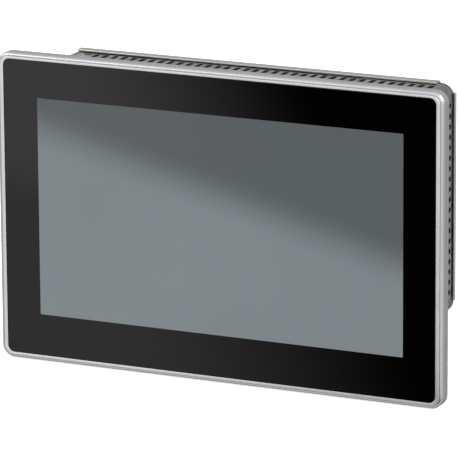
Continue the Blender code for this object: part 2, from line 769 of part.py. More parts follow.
def connector_windows():
    """Cutter for the openings in the housing's lower wall, each a little larger than its part."""
    part = PARTS_DEPTH
    windows = [(POWER_X, 0.0200, part, part + 0.0120)]
    windows += [(x, 0.0160, part, part + 0.0135) for x in ETHERNET_X]
    windows += [(x, 0.0134, part, part + 0.0060) for x in USB_X]
    windows += [
        (SERIAL_X, 0.0190, part, part + 0.0113),
        (CARD_X, 0.0250, part, part + 0.0032),
        (MODE_X, 0.0024 + KNOB_TRAVEL, 0.0328, 0.0352),
    ]
    shapes = []
    for x, width, front, back in windows:
        left, right = x - width / 2 - GAP, x + width / 2 + GAP
        ring = ((left, front - GAP), (right, front - GAP), (right, back + GAP), (left, back + GAP))
        levels = (HOUSING_BOTTOM - 0.002, HOUSING_BOTTOM + SHEET + 0.002)
        shapes.append([[(a, at_depth(d), z) for a, d in ring] for z in levels])
    return many("cut_connector_windows", shapes)


def cover_screw_places():
    upper = HOUSING_TOP - 0.0050
    lower = HOUSING_BOTTOM + 0.0050
    return [(x, z) for z in (upper, lower) for x in (-0.1070, 0.0052, 0.1175)]


def rear_housing():
    """Vented wall around the electronics, with an inward lip at each end."""
    front, back = HOUSING_LAYER
    wall = slab("rear_housing", housing_outline(0.0), HOUSING_LAYER, zinc_sheet())
    cavity = slab("cut_housing_cavity", housing_outline(SHEET), (front + SHEET, back - SHEET))
    mouth = slab("cut_housing_mouth", housing_outline(HOUSING_LIP - 0.0015), (front - 0.001, back + 0.001))
    cut(wall, mouth, cavity, vent_slots(), connector_windows())
    button = turned_z("cut_button_hole", RESET_X, 0.0340,
                      [(BUTTON_RADIUS + GAP, HOUSING_BOTTOM - 0.002), (BUTTON_RADIUS + GAP, -0.044)])
    earth = turned_z("cut_earth_hole", EARTH_X, 0.0350,
                     [(0.0022, HOUSING_BOTTOM - 0.002), (0.0022, -0.044)], sides=12)
    cut(wall, button, earth)
    for number, (x, z) in enumerate(cover_screw_places()):
        hole = [(0.0017, back - 0.003), (0.0017, back + 0.001)]
        cut(wall, turned_y(f"cut_lip_{number}", x, z, hole, sides=8))
    for number, (x, z) in enumerate(screw_posts()[:2]):
        hole = [(0.0017, front - 0.001), (0.0017, front + 0.003)]
        cut(wall, turned_y(f"cut_front_lip_{number}", x, z, hole, sides=8))


def rear_cover():
    """Back plate with four bent flanges that stand just outside the housing's wall."""
    plate_front = COVER_BACK - SHEET
    cover = slab("rear_cover", housing_outline(0.0), (plate_front, COVER_BACK), nickel_sheet())
    near = GAP
    far = GAP + SHEET
    overlap = 0.0030
    bend = (plate_front + 0.0001, COVER_BACK)
    upright = {
        "top": ((HOUSING_TOP + near, HOUSING_TOP + far), (HOUSING_TOP - overlap, HOUSING_TOP + far)),
        "bottom": ((HOUSING_BOTTOM - far, HOUSING_BOTTOM - near),
                   (HOUSING_BOTTOM - far, HOUSING_BOTTOM + overlap)),
    }
    for side, (leg, root) in upright.items():
        depth = (COVER_FLANGE_FRONT[side], COVER_BACK)
        add(cover, box(f"add_root_{side}", TOP_FLANGE, bend, root),
            box(f"add_flange_{side}", TOP_FLANGE, depth, leg))
    sideways = {
        "left": ((HOUSING_LEFT - far, HOUSING_LEFT - near), (HOUSING_LEFT - far, HOUSING_LEFT + overlap)),
        "right": ((HOUSING_RIGHT + near, HOUSING_RIGHT + far),
                  (HOUSING_RIGHT - overlap, HOUSING_RIGHT + far)),
    }
    for side, (leg, root) in sideways.items():
        depth = (COVER_FLANGE_FRONT[side], COVER_BACK)
        add(cover, box(f"add_root_{side}", root, bend, SIDE_FLANGE),
            box(f"add_flange_{side}", leg, depth, SIDE_FLANGE))
    for number, (x, z) in enumerate(cover_screw_places()):
        hole = [(0.0017, plate_front - 0.001), (0.0017, COVER_BACK + 0.001)]
        cut(cover, turned_y(f"cut_cover_{number}", x, z, hole, sides=8))


def cover_screws():
    for number, (x, z) in enumerate(cover_screw_places(), 1):
        top = COVER_BACK + SCREW_HEAD_HEIGHT
        profile = [
            (0.0013, 0.0420), (0.0013, COVER_BACK + GAP), (0.0028, COVER_BACK + GAP),
            (0.0026, top - 0.0003), (0.0019, top),
        ]
        turned_y(f"cover_screw_{number}", x, z, profile, steel(), 12)


def rating_plate():
    """Blank identification plate on the cover."""
    look = material("plate_silver", (0.72, 0.72, 0.70), 0.35, 0.6)
    outline = rounded_outline(0.0200, 0.0900, 0.0080, 0.0460, 0.0020, 2)
    slab("rating_plate", outline, (COVER_BACK + GAP, COVER_BACK + GAP + 0.0003), look)


# ---------------------------------------------------------------- assembly


def remove_start_objects():
    for obj in list(bpy.data.objects):
        bpy.data.objects.remove(obj, do_unlink=True)


def build():
    remove_start_objects()
    front_frame()
    panel_gasket()
    front_glass()
    glass_adhesive()
    display_stack()
    display_bracket("display_bracket_top", DISPLAY_Z + MODULE_HEIGHT / 2, 1)
    display_bracket("display_bracket_bottom", DISPLAY_Z - MODULE_HEIGHT / 2, -1)
    chassis_tray()
    chassis_screws()
    touch_electronics()
    display_cable()
    main_board()
    board_fixings()
    processor_group()
    coin_cell()
    power_connector()
    for number, x in enumerate(ETHERNET_X, 1):
        ethernet_port(number, x)
    for number, x in enumerate(USB_X, 1):
        usb_port(number, x)
    serial_port()
    card_slot()
    reset_group()
    mode_group()
    earth_screw()
    rear_housing()
    rear_cover()
    cover_screws()
    rating_plate()


build()
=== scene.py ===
"""Looks of the panel-mount touch panel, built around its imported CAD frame. Units are metres.

+X is right, +Z is up, and the glass faces -Y. Depths are measured back from the frame's front rim.
"""

import json
from math import cos, pi, radians, sin

import bmesh
import bpy
from mathutils import Matrix, Vector

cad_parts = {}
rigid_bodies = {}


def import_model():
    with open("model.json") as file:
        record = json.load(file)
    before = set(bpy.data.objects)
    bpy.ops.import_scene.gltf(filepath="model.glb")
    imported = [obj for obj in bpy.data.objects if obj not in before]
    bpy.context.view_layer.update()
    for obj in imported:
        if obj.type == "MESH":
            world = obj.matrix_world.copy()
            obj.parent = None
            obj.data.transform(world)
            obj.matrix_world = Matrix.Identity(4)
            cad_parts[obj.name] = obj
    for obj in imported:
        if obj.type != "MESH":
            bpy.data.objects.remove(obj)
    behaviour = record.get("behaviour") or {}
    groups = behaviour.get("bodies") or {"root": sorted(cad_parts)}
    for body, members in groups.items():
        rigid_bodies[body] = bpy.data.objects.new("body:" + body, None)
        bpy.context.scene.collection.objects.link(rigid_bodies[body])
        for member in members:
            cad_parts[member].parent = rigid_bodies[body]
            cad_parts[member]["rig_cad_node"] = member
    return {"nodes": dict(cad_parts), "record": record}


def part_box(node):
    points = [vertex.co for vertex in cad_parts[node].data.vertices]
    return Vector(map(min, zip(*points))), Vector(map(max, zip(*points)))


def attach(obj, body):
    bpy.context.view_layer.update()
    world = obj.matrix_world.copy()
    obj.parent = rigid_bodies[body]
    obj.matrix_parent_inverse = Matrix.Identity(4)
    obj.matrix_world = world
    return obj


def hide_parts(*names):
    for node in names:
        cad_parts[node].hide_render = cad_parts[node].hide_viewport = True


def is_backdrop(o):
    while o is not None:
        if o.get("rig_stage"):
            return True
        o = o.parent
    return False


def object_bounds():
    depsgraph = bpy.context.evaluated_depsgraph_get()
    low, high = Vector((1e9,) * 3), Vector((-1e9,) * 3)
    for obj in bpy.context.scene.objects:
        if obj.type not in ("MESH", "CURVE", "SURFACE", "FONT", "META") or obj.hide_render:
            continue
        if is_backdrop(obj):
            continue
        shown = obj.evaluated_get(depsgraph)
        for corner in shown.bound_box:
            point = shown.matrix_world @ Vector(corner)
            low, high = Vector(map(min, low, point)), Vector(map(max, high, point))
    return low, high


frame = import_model()
CAD_LOW, CAD_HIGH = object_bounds()

# ---------------------------------------------------------------- sizes taken from the frame
FRONT_Y = CAD_LOW.y
FRAME_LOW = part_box("front_frame")[0]
GLASS_LOW, GLASS_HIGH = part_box("front_glass")
CELL_LOW, CELL_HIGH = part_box("display_panel")
MODULE_LOW, MODULE_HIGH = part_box("touch_sensor")
TRAY_LOW, TRAY_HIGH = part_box("chassis_tray")
HOUSING_LOW, HOUSING_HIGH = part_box("rear_housing")
COVER_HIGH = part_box("rear_cover")[1]
GASKET_LOW, GASKET_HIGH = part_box("panel_gasket")
BODY = "panel"

GAP = 0.0003
SHEET = 0.0012
FRAME_RADIUS = 0.0074
GLASS_RADIUS = 0.0039
HOUSING_RADIUS = 0.0080
POLE_PITCH = 0.00508
CORNER_STEPS = 14

# ---------------------------------------------------------------- procedural materials


class Look:
    """A Principled material with helpers for the nodes that feed it."""

    def __init__(self, name, colour, roughness, metallic=0.0):
        self.material = bpy.data.materials.new(name)
        self.material.use_nodes = True
        self.tree = self.material.node_tree
        self.shader = self.tree.nodes["Principled BSDF"]
        self.shader.inputs["Base Color"].default_value = (*colour, 1.0)
        self.shader.inputs["Roughness"].default_value = roughness
        self.shader.inputs["Metallic"].default_value = metallic
        self.coords = self.tree.nodes.new("ShaderNodeTexCoord").outputs["Object"]

    def link(self, output, to):
        self.tree.links.new(output, to)

    def node(self, kind, **inputs):
        """Add a node; each input is a value or a socket, and an underscore in its name stands for a space."""
        node = self.tree.nodes.new(kind)
        for name, value in inputs.items():
            socket = node.inputs[name.replace("_", " ")]
            if isinstance(value, bpy.types.NodeSocket):
                self.link(value, socket)
            else:
                socket.default_value = value
        return node

    def mapped(self, **inputs):
        """Object coordinates scaled or turned, for brushed, drawn or laid-out surfaces."""
        return self.node("ShaderNodeMapping", Vector=self.coords, **inputs).outputs["Vector"]

    def along(self, direction):
        """Object coordinates measured along a direction."""
        node = self.tree.nodes.new("ShaderNodeVectorMath")
        node.operation = "DOT_PRODUCT"
        node.inputs[1].default_value = direction
        self.link(self.coords, node.inputs[0])
        return node.outputs["Value"]

    def noise(self, scale, detail=3.0, vector=None):
        vector = vector or self.coords
        return self.node("ShaderNodeTexNoise", Scale=scale, Detail=detail, Vector=vector).outputs["Fac"]

    def cells(self, scale):
        return self.node("ShaderNodeTexVoronoi", Scale=scale, Vector=self.coords).outputs["Color"]

    def spread(self, value, low, high, start=0.3, end=0.7):
        """Map a texture's range start to end onto the range low to high, smoothly."""
        node = self.node("ShaderNodeMapRange", Value=value, From_Min=start, From_Max=end, To_Min=low,
                         To_Max=high)
        node.interpolation_type = "SMOOTHSTEP"
        return node.outputs["Result"]

    def blend(self, factor, first, second):
        """Mix two colours, each a tuple or a socket."""
        node = self.tree.nodes.new("ShaderNodeMix")
        node.data_type = "RGBA"
        for socket, colour in ((node.inputs[6], first), (node.inputs[7], second)):
            if isinstance(colour, tuple):
                socket.default_value = (*colour, 1.0)
            else:
                self.link(colour, socket)
        self.link(factor, node.inputs[0])
        return node.outputs[2]

    def paint(self, factor, first, second):
        self.link(self.blend(factor, first, second), self.shader.inputs["Base Color"])
        return self

    def roughen(self, value, low, high):
        self.link(self.spread(value, low, high), self.shader.inputs["Roughness"])
        return self

    def bump(self, height, strength, distance):
        node = self.node("ShaderNodeBump", Strength=strength, Distance=distance, Height=height)
        self.link(node.outputs["Normal"], self.shader.inputs["Normal"])
        return self

    def edge_wear(self, worn, amount=0.6):
        """Lighter metal along convex edges, from the mesh's own pointiness."""
        geometry = self.tree.nodes.new("ShaderNodeNewGeometry")
        edge = self.spread(geometry.outputs["Pointiness"], 0.0, amount, 0.52, 0.60)
        base = self.shader.inputs["Base Color"]
        if base.is_linked:
            current = base.links[0].from_socket
        else:
            current = tuple(base.default_value)[:3]
        self.link(self.blend(edge, current, worn), base)
        return self


def satin_aluminium():
    """Bead-blasted, clear anodised casting."""
    look = Look("satin_aluminium", (0.54, 0.545, 0.56), 0.28, 1.0)
    look.paint(look.spread(look.noise(60, 4), 0, 1), (0.52, 0.525, 0.54), (0.56, 0.565, 0.57))
    look.roughen(look.noise(900, 2), 0.25, 0.31)
    return look.bump(look.noise(5200, 2), 0.04, 0.00002).material


def ground_aluminium():
    """The rim's ground land."""
    look = Look("ground_aluminium", (0.76, 0.76, 0.76), 0.50, 1.0)
    look.paint(look.spread(look.noise(90, 3), 0, 1), (0.74, 0.745, 0.75), (0.79, 0.79, 0.785))
    look.roughen(look.noise(700, 3), 0.46, 0.54)
    return look.bump(look.noise(6000, 2), 0.04, 0.00002).material


def groove_painted_shade():
    """The darker floor of the groove beside the rim: painted shade in the groove."""
    look = Look("groove_painted_shade", (0.38, 0.38, 0.385), 0.55, 1.0)
    look.paint(look.spread(look.noise(300, 3), 0, 1), (0.36, 0.36, 0.365), (0.40, 0.40, 0.405))
    look.roughen(look.noise(900, 3), 0.50, 0.60)
    return look.bump(look.noise(4200, 2), 0.08, 0.00003).material


def zinc_sheet():
    """Zinc-coated sheet steel with a faint spangle."""
    look = Look("zinc_sheet", (0.23, 0.24, 0.26), 0.32, 1.0)
    spangle = look.cells(210)
    look.paint(look.spread(spangle, 0, 1, 0.0, 1.0), (0.20, 0.21, 0.23), (0.26, 0.27, 0.29))
    look.roughen(spangle, 0.28, 0.36)
    look.bump(look.noise(2600, 3), 0.08, 0.00004)
    return look.edge_wear((0.62, 0.62, 0.62)).material


def nickel_sheet():
    """Warm nickel-plated sheet, drawn along X."""
    look = Look("nickel_sheet", (0.54, 0.52, 0.48), 0.18, 1.0)
    grain = look.noise(1.0, 4, look.mapped(Scale=(8, 1400, 1400)))
    look.paint(look.spread(grain, 0, 1), (0.51, 0.49, 0.45), (0.57, 0.55, 0.51))
    look.roughen(grain, 0.15, 0.20)
    return look.bump(grain, 0.02, 0.00002).material


def plated_steel(name="plated_steel", colour=(0.60, 0.60, 0.61)):
    look = Look(name, colour, 0.28, 1.0)
    darker = tuple(0.82 * c for c in colour)
    look.paint(look.spread(look.noise(420, 4), 0, 1), darker, colour)
    look.roughen(look.noise(1500, 3), 0.22, 0.36)
    return look.bump(look.noise(3800, 2), 0.06, 0.00003).material


def gold_plate():
    look = Look("gold_contact", (0.83, 0.62, 0.25), 0.22, 1.0)
    look.paint(look.spread(look.noise(1200, 3), 0, 1), (0.76, 0.56, 0.22), (0.86, 0.65, 0.28))
    look.roughen(look.noise(2500, 2), 0.18, 0.30)
    return look.bump(look.noise(5000, 2), 0.05, 0.00002).material


def moulded(name, colour, roughness=0.5, grain=2400):
    """Moulded plastic with a fine spark-eroded grain."""
    look = Look(name, colour, roughness)
    lighter = tuple(min(1.0, 1.25 * c + 0.004) for c in colour)
    look.paint(look.spread(look.noise(150, 4), 0, 1), colour, lighter)
    look.roughen(look.noise(grain / 3, 2), roughness - 0.06, roughness + 0.08)
    return look.bump(look.noise(grain, 2), 0.16, 0.00005).material


def foam():
    look = Look("foam_strip", (0.028, 0.028, 0.030), 0.92)
    pores = look.noise(3600, 4)
    look.paint(look.spread(pores, 0, 1), (0.016, 0.016, 0.017), (0.045, 0.045, 0.047))
    return look.bump(pores, 0.6, 0.0002).material


def printed_glass():
    """Cover glass over its black printed border."""
    look = Look("printed_glass", (0.0005, 0.0005, 0.0005), 0.03)
    look.shader.inputs["IOR"].default_value = 1.50
    haze = look.noise(35, 5)
    look.paint(look.spread(haze, 0, 1), (0.0003, 0.0003, 0.0003), (0.0007, 0.0007, 0.0008))
    return look.roughen(look.noise(12, 4), 0.02, 0.05).material


def display_window():
    """The switched-off display under the glass: dark grey, with a painted reflection that makes it lighter
    below a soft diagonal.
    """
    look = Look("display_window", (0.12, 0.13, 0.135), 0.06)
    look.shader.inputs["IOR"].default_value = 1.50
    look.shader.inputs["Specular IOR Level"].default_value = 0.12
    # Painted reflection: the screen is lighter below a soft diagonal line, standing in for a soft box
    # mirrored in the glass.
    slope = radians(14.5)
    middle, soft = 0.0185, 0.0150
    height = look.along((sin(slope), 0.0, cos(slope)))
    painted_reflection = look.spread(height, 1.0, 0.0, middle - soft, middle + soft)
    upper, reflection_grey = (0.0935, 0.1047, 0.1123), (0.1950, 0.2195, 0.2305)
    tint = look.tree.nodes.new("ShaderNodeVectorMath")
    tint.operation = "SCALE"
    look.link(look.blend(painted_reflection, upper, reflection_grey), tint.inputs[0])
    look.link(look.spread(look.noise(9, 3), 0.97, 1.03), tint.inputs["Scale"])
    look.link(tint.outputs["Vector"], look.shader.inputs["Base Color"])
    return look.roughen(look.noise(14, 3), 0.05, 0.09).material


def circuit_board():
    """Green solder resist with copper tracks showing faintly under it."""
    look = Look("circuit_board", (0.010, 0.085, 0.040), 0.35)
    brick = look.node("ShaderNodeTexBrick", Scale=220, Mortar_Size=0.03, Color1=(0.010, 0.085, 0.040, 1),
                      Color2=(0.014, 0.105, 0.048, 1), Mortar=(0.030, 0.170, 0.075, 1),
                      Vector=look.mapped(Rotation=(pi / 2, 0, 0)))
    look.link(brick.outputs["Color"], look.shader.inputs["Base Color"])
    look.roughen(look.noise(800, 2), 0.28, 0.42)
    return look.bump(brick.outputs["Fac"], 0.20, 0.00004).material


def sheared_edge_and_shade():
    """Bare, darkened steel where the sheet was punched or sheared; near black, so it is also painted shade
    inside the slots, holes and openings.
    """
    look = Look("sheared_edge_and_shade", (0.030, 0.029, 0.028), 0.55, 0.6)
    grain = look.noise(1.0, 3, look.mapped(Scale=(2200, 500, 2200)))
    look.paint(look.spread(grain, 0, 1), (0.020, 0.019, 0.018), (0.050, 0.048, 0.046))
    look.roughen(grain, 0.48, 0.62)
    return look.bump(grain, 0.1, 0.00003).material


def label_stock():
    look = Look("label_stock", (0.70, 0.70, 0.68), 0.42, 0.35)
    grain = look.noise(1.0, 3, look.mapped(Scale=(40, 900, 900)))
    look.paint(look.spread(grain, 0, 1), (0.64, 0.64, 0.625), (0.74, 0.74, 0.72))
    look.roughen(grain, 0.36, 0.50)
    return look.bump(grain, 0.03, 0.00002).material


SATIN = satin_aluminium()
GROUND = ground_aluminium()
GROOVE_SHADE = groove_painted_shade()
ZINC = zinc_sheet()
NICKEL = nickel_sheet()
STEEL = plated_steel()
GOLD = gold_plate()
BLACK = moulded("black_plastic", (0.020, 0.020, 0.022))
GREEN = moulded("terminal_green", (0.030, 0.230, 0.085), 0.45)
WHITE = moulded("white_plastic", (0.62, 0.62, 0.60), 0.4)
LIGHT_GUIDE = moulded("light_guide", (0.78, 0.78, 0.75), 0.35)
AMBER = moulded("flex_amber", (0.50, 0.26, 0.05), 0.32, 900)
PAD = moulded("thermal_pad", (0.32, 0.35, 0.40), 0.8, 1800)
CABLE = moulded("cable_white", (0.72, 0.71, 0.67), 0.5, 1200)
LAMP_GREEN = moulded("lamp_green", (0.10, 0.42, 0.12), 0.25, 900)
LAMP_AMBER = moulded("lamp_amber", (0.60, 0.36, 0.05), 0.25, 900)
FOAM = foam()
PRINTED = printed_glass()
WINDOW = display_window()
BOARD = circuit_board()
LABEL = label_stock()
SHEARED_AND_SHADED = sheared_edge_and_shade()

# ---------------------------------------------------------------- mesh helpers


def at(depth):
    return FRONT_Y + depth


def depth_of(y):
    return y - FRONT_Y


def make(name, bm, looks, replaces=(), body=BODY, angle=30):
    """Turn a bmesh into a smooth-shaded piece that rides on a body."""
    bmesh.ops.recalc_face_normals(bm, faces=bm.faces)
    mesh = bpy.data.meshes.new(name)
    bm.to_mesh(mesh)
    bm.free()
    for look in looks if isinstance(looks, (list, tuple)) else [looks]:
        mesh.materials.append(look)
    obj = bpy.data.objects.new(name, mesh)
    bpy.context.scene.collection.objects.link(obj)
    smooth(obj, angle)
    if body:
        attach(obj, body)
    if replaces:
        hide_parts(*([replaces] if isinstance(replaces, str) else replaces))
    return obj


def smooth(obj, angle=30):
    obj.data.shade_smooth()
    obj.data.set_sharp_from_angle(angle=radians(angle))


def flatten_normals():
    """Weight every piece's normals by face area, so flat faces stay flat beside their rounded edges."""
    for obj in list(bpy.data.objects):
        if obj.type != "MESH" or "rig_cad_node" in obj or "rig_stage" in obj:
            continue
        step = obj.modifiers.new("flat_faces", "WEIGHTED_NORMAL")
        step.mode = "FACE_AREA"
        step.keep_sharp = True
        bake(obj)


def skin(bm, rings, closed=False, material=0):
    """Skin rings of points with quads. The last ring joins the first when closed, else both are capped."""
    loops = [[bm.verts.new(point) for point in ring] for ring in rings]
    count = len(rings[0])
    pairs = list(zip(loops, loops[1:]))
    if closed:
        pairs.append((loops[-1], loops[0]))
    for near, far in pairs:
        for i in range(count):
            j = (i + 1) % count
            face = bm.faces.new((near[i], near[j], far[j], far[i]))
            face.material_index = material
    if not closed:
        bm.faces.new(loops[0][::-1]).material_index = material
        bm.faces.new(loops[-1]).material_index = material
    return loops


def rounded(left, right, bottom, top, radius, steps=CORNER_STEPS):
    """Corner points of a rounded rectangle, anticlockwise."""
    radius = max(radius, 0.0002)
    centres = (
        (right - radius, bottom + radius, -pi / 2),
        (right - radius, top - radius, 0.0),
        (left + radius, top - radius, pi / 2),
        (left + radius, bottom + radius, pi),
    )
    points = []
    for x, z, start in centres:
        for step in range(steps + 1):
            angle = start + step / steps * pi / 2
            points.append((x + radius * cos(angle), z + radius * sin(angle)))
    return points


def arc(centre, radius, start, end, steps=4):
    """Points of an arc, angles in degrees; the centre and the radius may be (across, along)."""
    wide, tall = radius if isinstance(radius, tuple) else (radius, radius)
    points = []
    for step in range(steps + 1):
        angle = radians(start + (end - start) * step / steps)
        points.append((centre[0] + wide * cos(angle), centre[1] + tall * sin(angle)))
    return points


def facing_y(outline, depth):
    """X-Z outline placed at a depth."""
    return [(x, at(depth), z) for x, z in outline]


def facing_z(outline, z):
    """X-depth outline placed at a height."""
    return [(x, at(d), z) for x, d in outline]


def ring_around(node, radius):
    """A node's outline seen from the front, as a function of the inset."""
    low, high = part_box(node)
    return lambda inset: rounded(low.x + inset, high.x - inset, low.z + inset, high.z - inset, radius - inset)


frame_ring = ring_around("front_frame", FRAME_RADIUS)
glass_ring = ring_around("front_glass", GLASS_RADIUS)
housing_ring = ring_around("rear_housing", HOUSING_RADIUS)
tray_ring = ring_around("chassis_tray", HOUSING_RADIUS)


def about(middle, half):
    return middle - half, middle + half


def prism(bm, outline, place, levels, material=0):
    """A straight solid: an outline placed at each level."""
    return skin(bm, [place(outline, level) for level in levels], material=material)


def soft_prism(bm, outline_of, place, low, high, edge, material=0):
    """A straight solid with rounded ends; outline_of(inset) gives the outline."""
    sign = 1 if high > low else -1
    levels = [(inset, low + sign * (edge - lift)) for inset, lift in corner_round(edge)]
    levels += [(inset, high - sign * (edge - lift)) for inset, lift in reversed(corner_round(edge))]
    return skin(bm, [place(outline_of(inset), level) for inset, level in levels], material=material)


def bar(bm, sides, depths, radius, heights, steps=3):
    """A plain upright solid with rounded corners; sides, depths and heights are (low, high)."""
    prism(bm, rounded(*sides, *depths, radius, steps), facing_z, heights)


def soft_bar(bm, sides, depths, radius, heights, edge, steps=3, shrink=0.0):
    """As bar, with rounded ends; the corner radius loses shrink times the inset."""

    def outline(inset):
        left, right = sides[0] + inset, sides[1] - inset
        return rounded(left, right, depths[0] + inset, depths[1] - inset, radius - shrink * inset, steps)

    soft_prism(bm, outline, facing_z, *heights, edge)


def corner_round(edge, steps=3):
    """(inset, lift) of a quarter round, from the flat end to the straight side."""
    made = []
    for step in range(steps + 1):
        angle = step / steps * pi / 2
        made.append((edge * (1 - sin(angle)), edge * cos(angle)))
    return made


def lathe(bm, centre, axis, profile, sides=28, turn=0.0, material=0):
    """A round solid; the profile is (radius, distance along the axis)."""
    direction = {"x": Vector((1, 0, 0)), "y": Vector((0, 1, 0)), "z": Vector((0, 0, 1))}[axis]
    across = Vector((0, 0, 1)) if axis != "z" else Vector((1, 0, 0))
    other = direction.cross(across)
    rings = []
    for radius, along in profile:
        ring = []
        for i in range(sides):
            angle = turn + 2 * pi * i / sides
            spoke = cos(angle) * across + sin(angle) * other
            ring.append(Vector(centre) + direction * along + radius * spoke)
        rings.append(ring)
    return skin(bm, rings, material=material)


def hexagonal(bm, centre, profile):
    """A solid along Z; the profile is (radius, height, whether that ring is a hexagon)."""
    sides = 36
    rings = []
    for radius, z, is_hexagon in profile:
        ring = []
        for i in range(sides):
            angle = 2 * pi * i / sides
            flat = cos(pi / 6) / cos((angle % (pi / 3)) - pi / 6) if is_hexagon else 1.0
            reach = radius * flat
            ring.append((centre.x + reach * cos(angle), centre.y + reach * sin(angle), z))
        rings.append(ring)
    skin(bm, rings)


def carve(obj, tools, operation="DIFFERENCE", angle=30):
    """Apply Booleans with tool objects, then delete the tools."""
    for tool in tools:
        step = obj.modifiers.new("carve", "BOOLEAN")
        step.operation = operation
        step.solver = "EXACT"
        step.material_mode = "TRANSFER"
        step.object = tool
    settle(obj, angle)
    for tool in tools:
        mesh = tool.data
        bpy.data.objects.remove(tool, do_unlink=True)
        bpy.data.meshes.remove(mesh)


def bake(obj):
    """Bake an object's modifiers into its mesh."""
    bpy.context.view_layer.update()
    graph = bpy.context.evaluated_depsgraph_get()
    baked = bpy.data.meshes.new_from_object(obj.evaluated_get(graph))
    old = obj.data
    obj.modifiers.clear()
    obj.data = baked
    bpy.data.meshes.remove(old)
    baked.name = obj.name


def settle(obj, angle=30):
    bake(obj)
    smooth(obj, angle)


def ease_edges(obj, width, segments=2, angle=40):
    step = obj.modifiers.new("ease_edges", "BEVEL")
    step.width = width
    step.segments = segments
    step.limit_method = "ANGLE"
    step.angle_limit = radians(angle)
    step.use_clamp_overlap = True
    settle(obj, angle)


def tool_from(name, fill, look):
    """A Boolean tool; fill(bm) adds its shapes, and the faces that it cuts take the look."""
    bm = bmesh.new()
    fill(bm)
    return make(name, bm, look, body=None)


def cut(obj, fill, look):
    """Cut the shapes that fill(bm) adds out of a piece."""
    carve(obj, [tool_from("cutter", fill, look)])


def block(bm, low, high, material=0):
    """A plain block between two corners, as part of a larger piece."""
    outline = [(low[0], low[2]), (high[0], low[2]), (high[0], high[2]), (low[0], high[2])]
    rings = [[(x, y, z) for x, z in outline] for y in (low[1], high[1])]
    return skin(bm, rings, material=material)


def centre_of(node):
    low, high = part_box(node)
    return (low + high) / 2


def measures(node):
    """A node's low and high corner, the middle of its width, and its first and last depth."""
    low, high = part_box(node)
    return low, high, (low.x + high.x) / 2, depth_of(low.y), depth_of(high.y)


def screw_holes(bm, kind, count, depth, radius, reach):
    """Clearance holes for one kind of screw, open to the back."""
    for n in range(1, count + 1):
        point = centre_of(f"{kind}_screw_{n}")
        lathe(bm, (point.x, at(depth), point.z), "y", [(radius, -reach), (radius, 0.002)], 16)


# ---------------------------------------------------------------- front: frame, glass and gasket


def build_frame():
    """One closed sweep: pocket, rim, groove, shoulder, side, back face with gasket groove, and ledge."""
    back = depth_of(TRAY_LOW.y) + 0.0033
    ledge_front = depth_of(CELL_LOW.y) + 0.0001
    ledge_back = ledge_front + 0.0014
    inner = [(-0.0001, ledge_front)] + arc((-0.0003, 0.0002), 0.0002, 0, -90)
    rim, groove = 0.0022, 0.0017
    floor = 0.00038
    profile = arc((rim + 0.0002, 0.0002), 0.0002, -90, -180)
    profile += [(rim - 0.00003, floor - 0.00004), (rim - 0.0001, floor)]
    profile += arc((groove, 0.0028), (groove, 0.0028 - floor), -90, -180, 12)
    profile += arc((0.0007, back - 0.0007), 0.0007, 180, 90, 3)
    gasket_out = GASKET_LOW.x - FRAME_LOW.x - GAP
    gasket_in = gasket_out + 0.0030 + 2 * GAP
    floor = depth_of(GASKET_LOW.y) - GAP
    profile += [(gasket_out, back), (gasket_out, floor), (gasket_in, floor), (gasket_in, back)]
    rings = [facing_y(glass_ring(inset), depth) for inset, depth in inner]
    rings += [facing_y(frame_ring(inset), depth) for inset, depth in profile]
    rings += [facing_y(tray_ring(-GAP), back), facing_y(tray_ring(-GAP), ledge_back)]
    window = rounded(MODULE_LOW.x - GAP, MODULE_HIGH.x + GAP, MODULE_LOW.z - GAP, MODULE_HIGH.z + GAP, 0.0010)
    rings += [facing_y(window, ledge_back), facing_y(window, ledge_front)]
    bm = bmesh.new()
    loops = skin(bm, rings, closed=True)
    land = len(inner) + 5
    # Band 1 is the ground rim land; band 2, the groove, takes the darker material, which is painted shade.
    for number, (first, last) in enumerate(((1, land - 1), (land - 1, land + 2)), 1):
        band = {vert for loop in loops[first:last + 1] for vert in loop}
        for face in bm.faces:
            if all(vert in band for vert in face.verts):
                face.material_index = number
    make("frame", bm, [SATIN, GROUND, GROOVE_SHADE], "front_frame")


def build_glass():
    """Cover glass with eased edges; the display's window is a region of its front face."""
    front, back = depth_of(GLASS_LOW.y), depth_of(GLASS_HIGH.y)
    ease = 0.00035
    profile = [(0.0, back)]
    profile += [(inset, front + ease - lift) for inset, lift in reversed(corner_round(ease))]
    bm = bmesh.new()
    rings = [facing_y(glass_ring(inset), depth) for inset, depth in profile]
    active = (0.003, 0.004)
    window = rounded(CELL_LOW.x + active[0], CELL_HIGH.x - active[0], CELL_LOW.z + active[1],
                     CELL_HIGH.z - active[1], 0.0005)
    rings.append(facing_y(window, front))
    skin(bm, rings)
    bm.faces.ensure_lookup_table()
    bm.faces[-1].material_index = 1
    make("cover_glass", bm, [PRINTED, WINDOW], "front_glass")


def build_gasket():
    """Foam strip with a rounded face, standing out of its groove."""
    outer = GASKET_LOW.x - FRAME_LOW.x
    width = 0.0030
    floor, face = depth_of(GASKET_LOW.y), depth_of(GASKET_HIGH.y)
    swell = 0.0008
    profile = [(outer, floor), (outer, face - swell)]
    profile += arc((outer + width / 2, face - swell), (width / 2, swell), 180, 0, 8)[1:-1]
    profile += [(outer + width, face - swell), (outer + width, floor)]
    bm = bmesh.new()
    skin(bm, [facing_y(frame_ring(inset), depth) for inset, depth in profile], closed=True)
    make("sealing_strip", bm, FOAM, "panel_gasket")


# ---------------------------------------------------------------- sheet metal behind the frame


def slot_shape(bm, corner, along, width, length, reach=0.003, steps=6):
    """A round-ended slot as a solid; corner(across, along, through) places it."""
    half = width / 2
    outline = arc((0, along + length - half), half, 0, 180, steps)
    outline += arc((0, along + half), half, 180, 360, steps)
    skin(bm, [[corner(a, d, t) for a, d in outline] for t in (-reach, reach)])


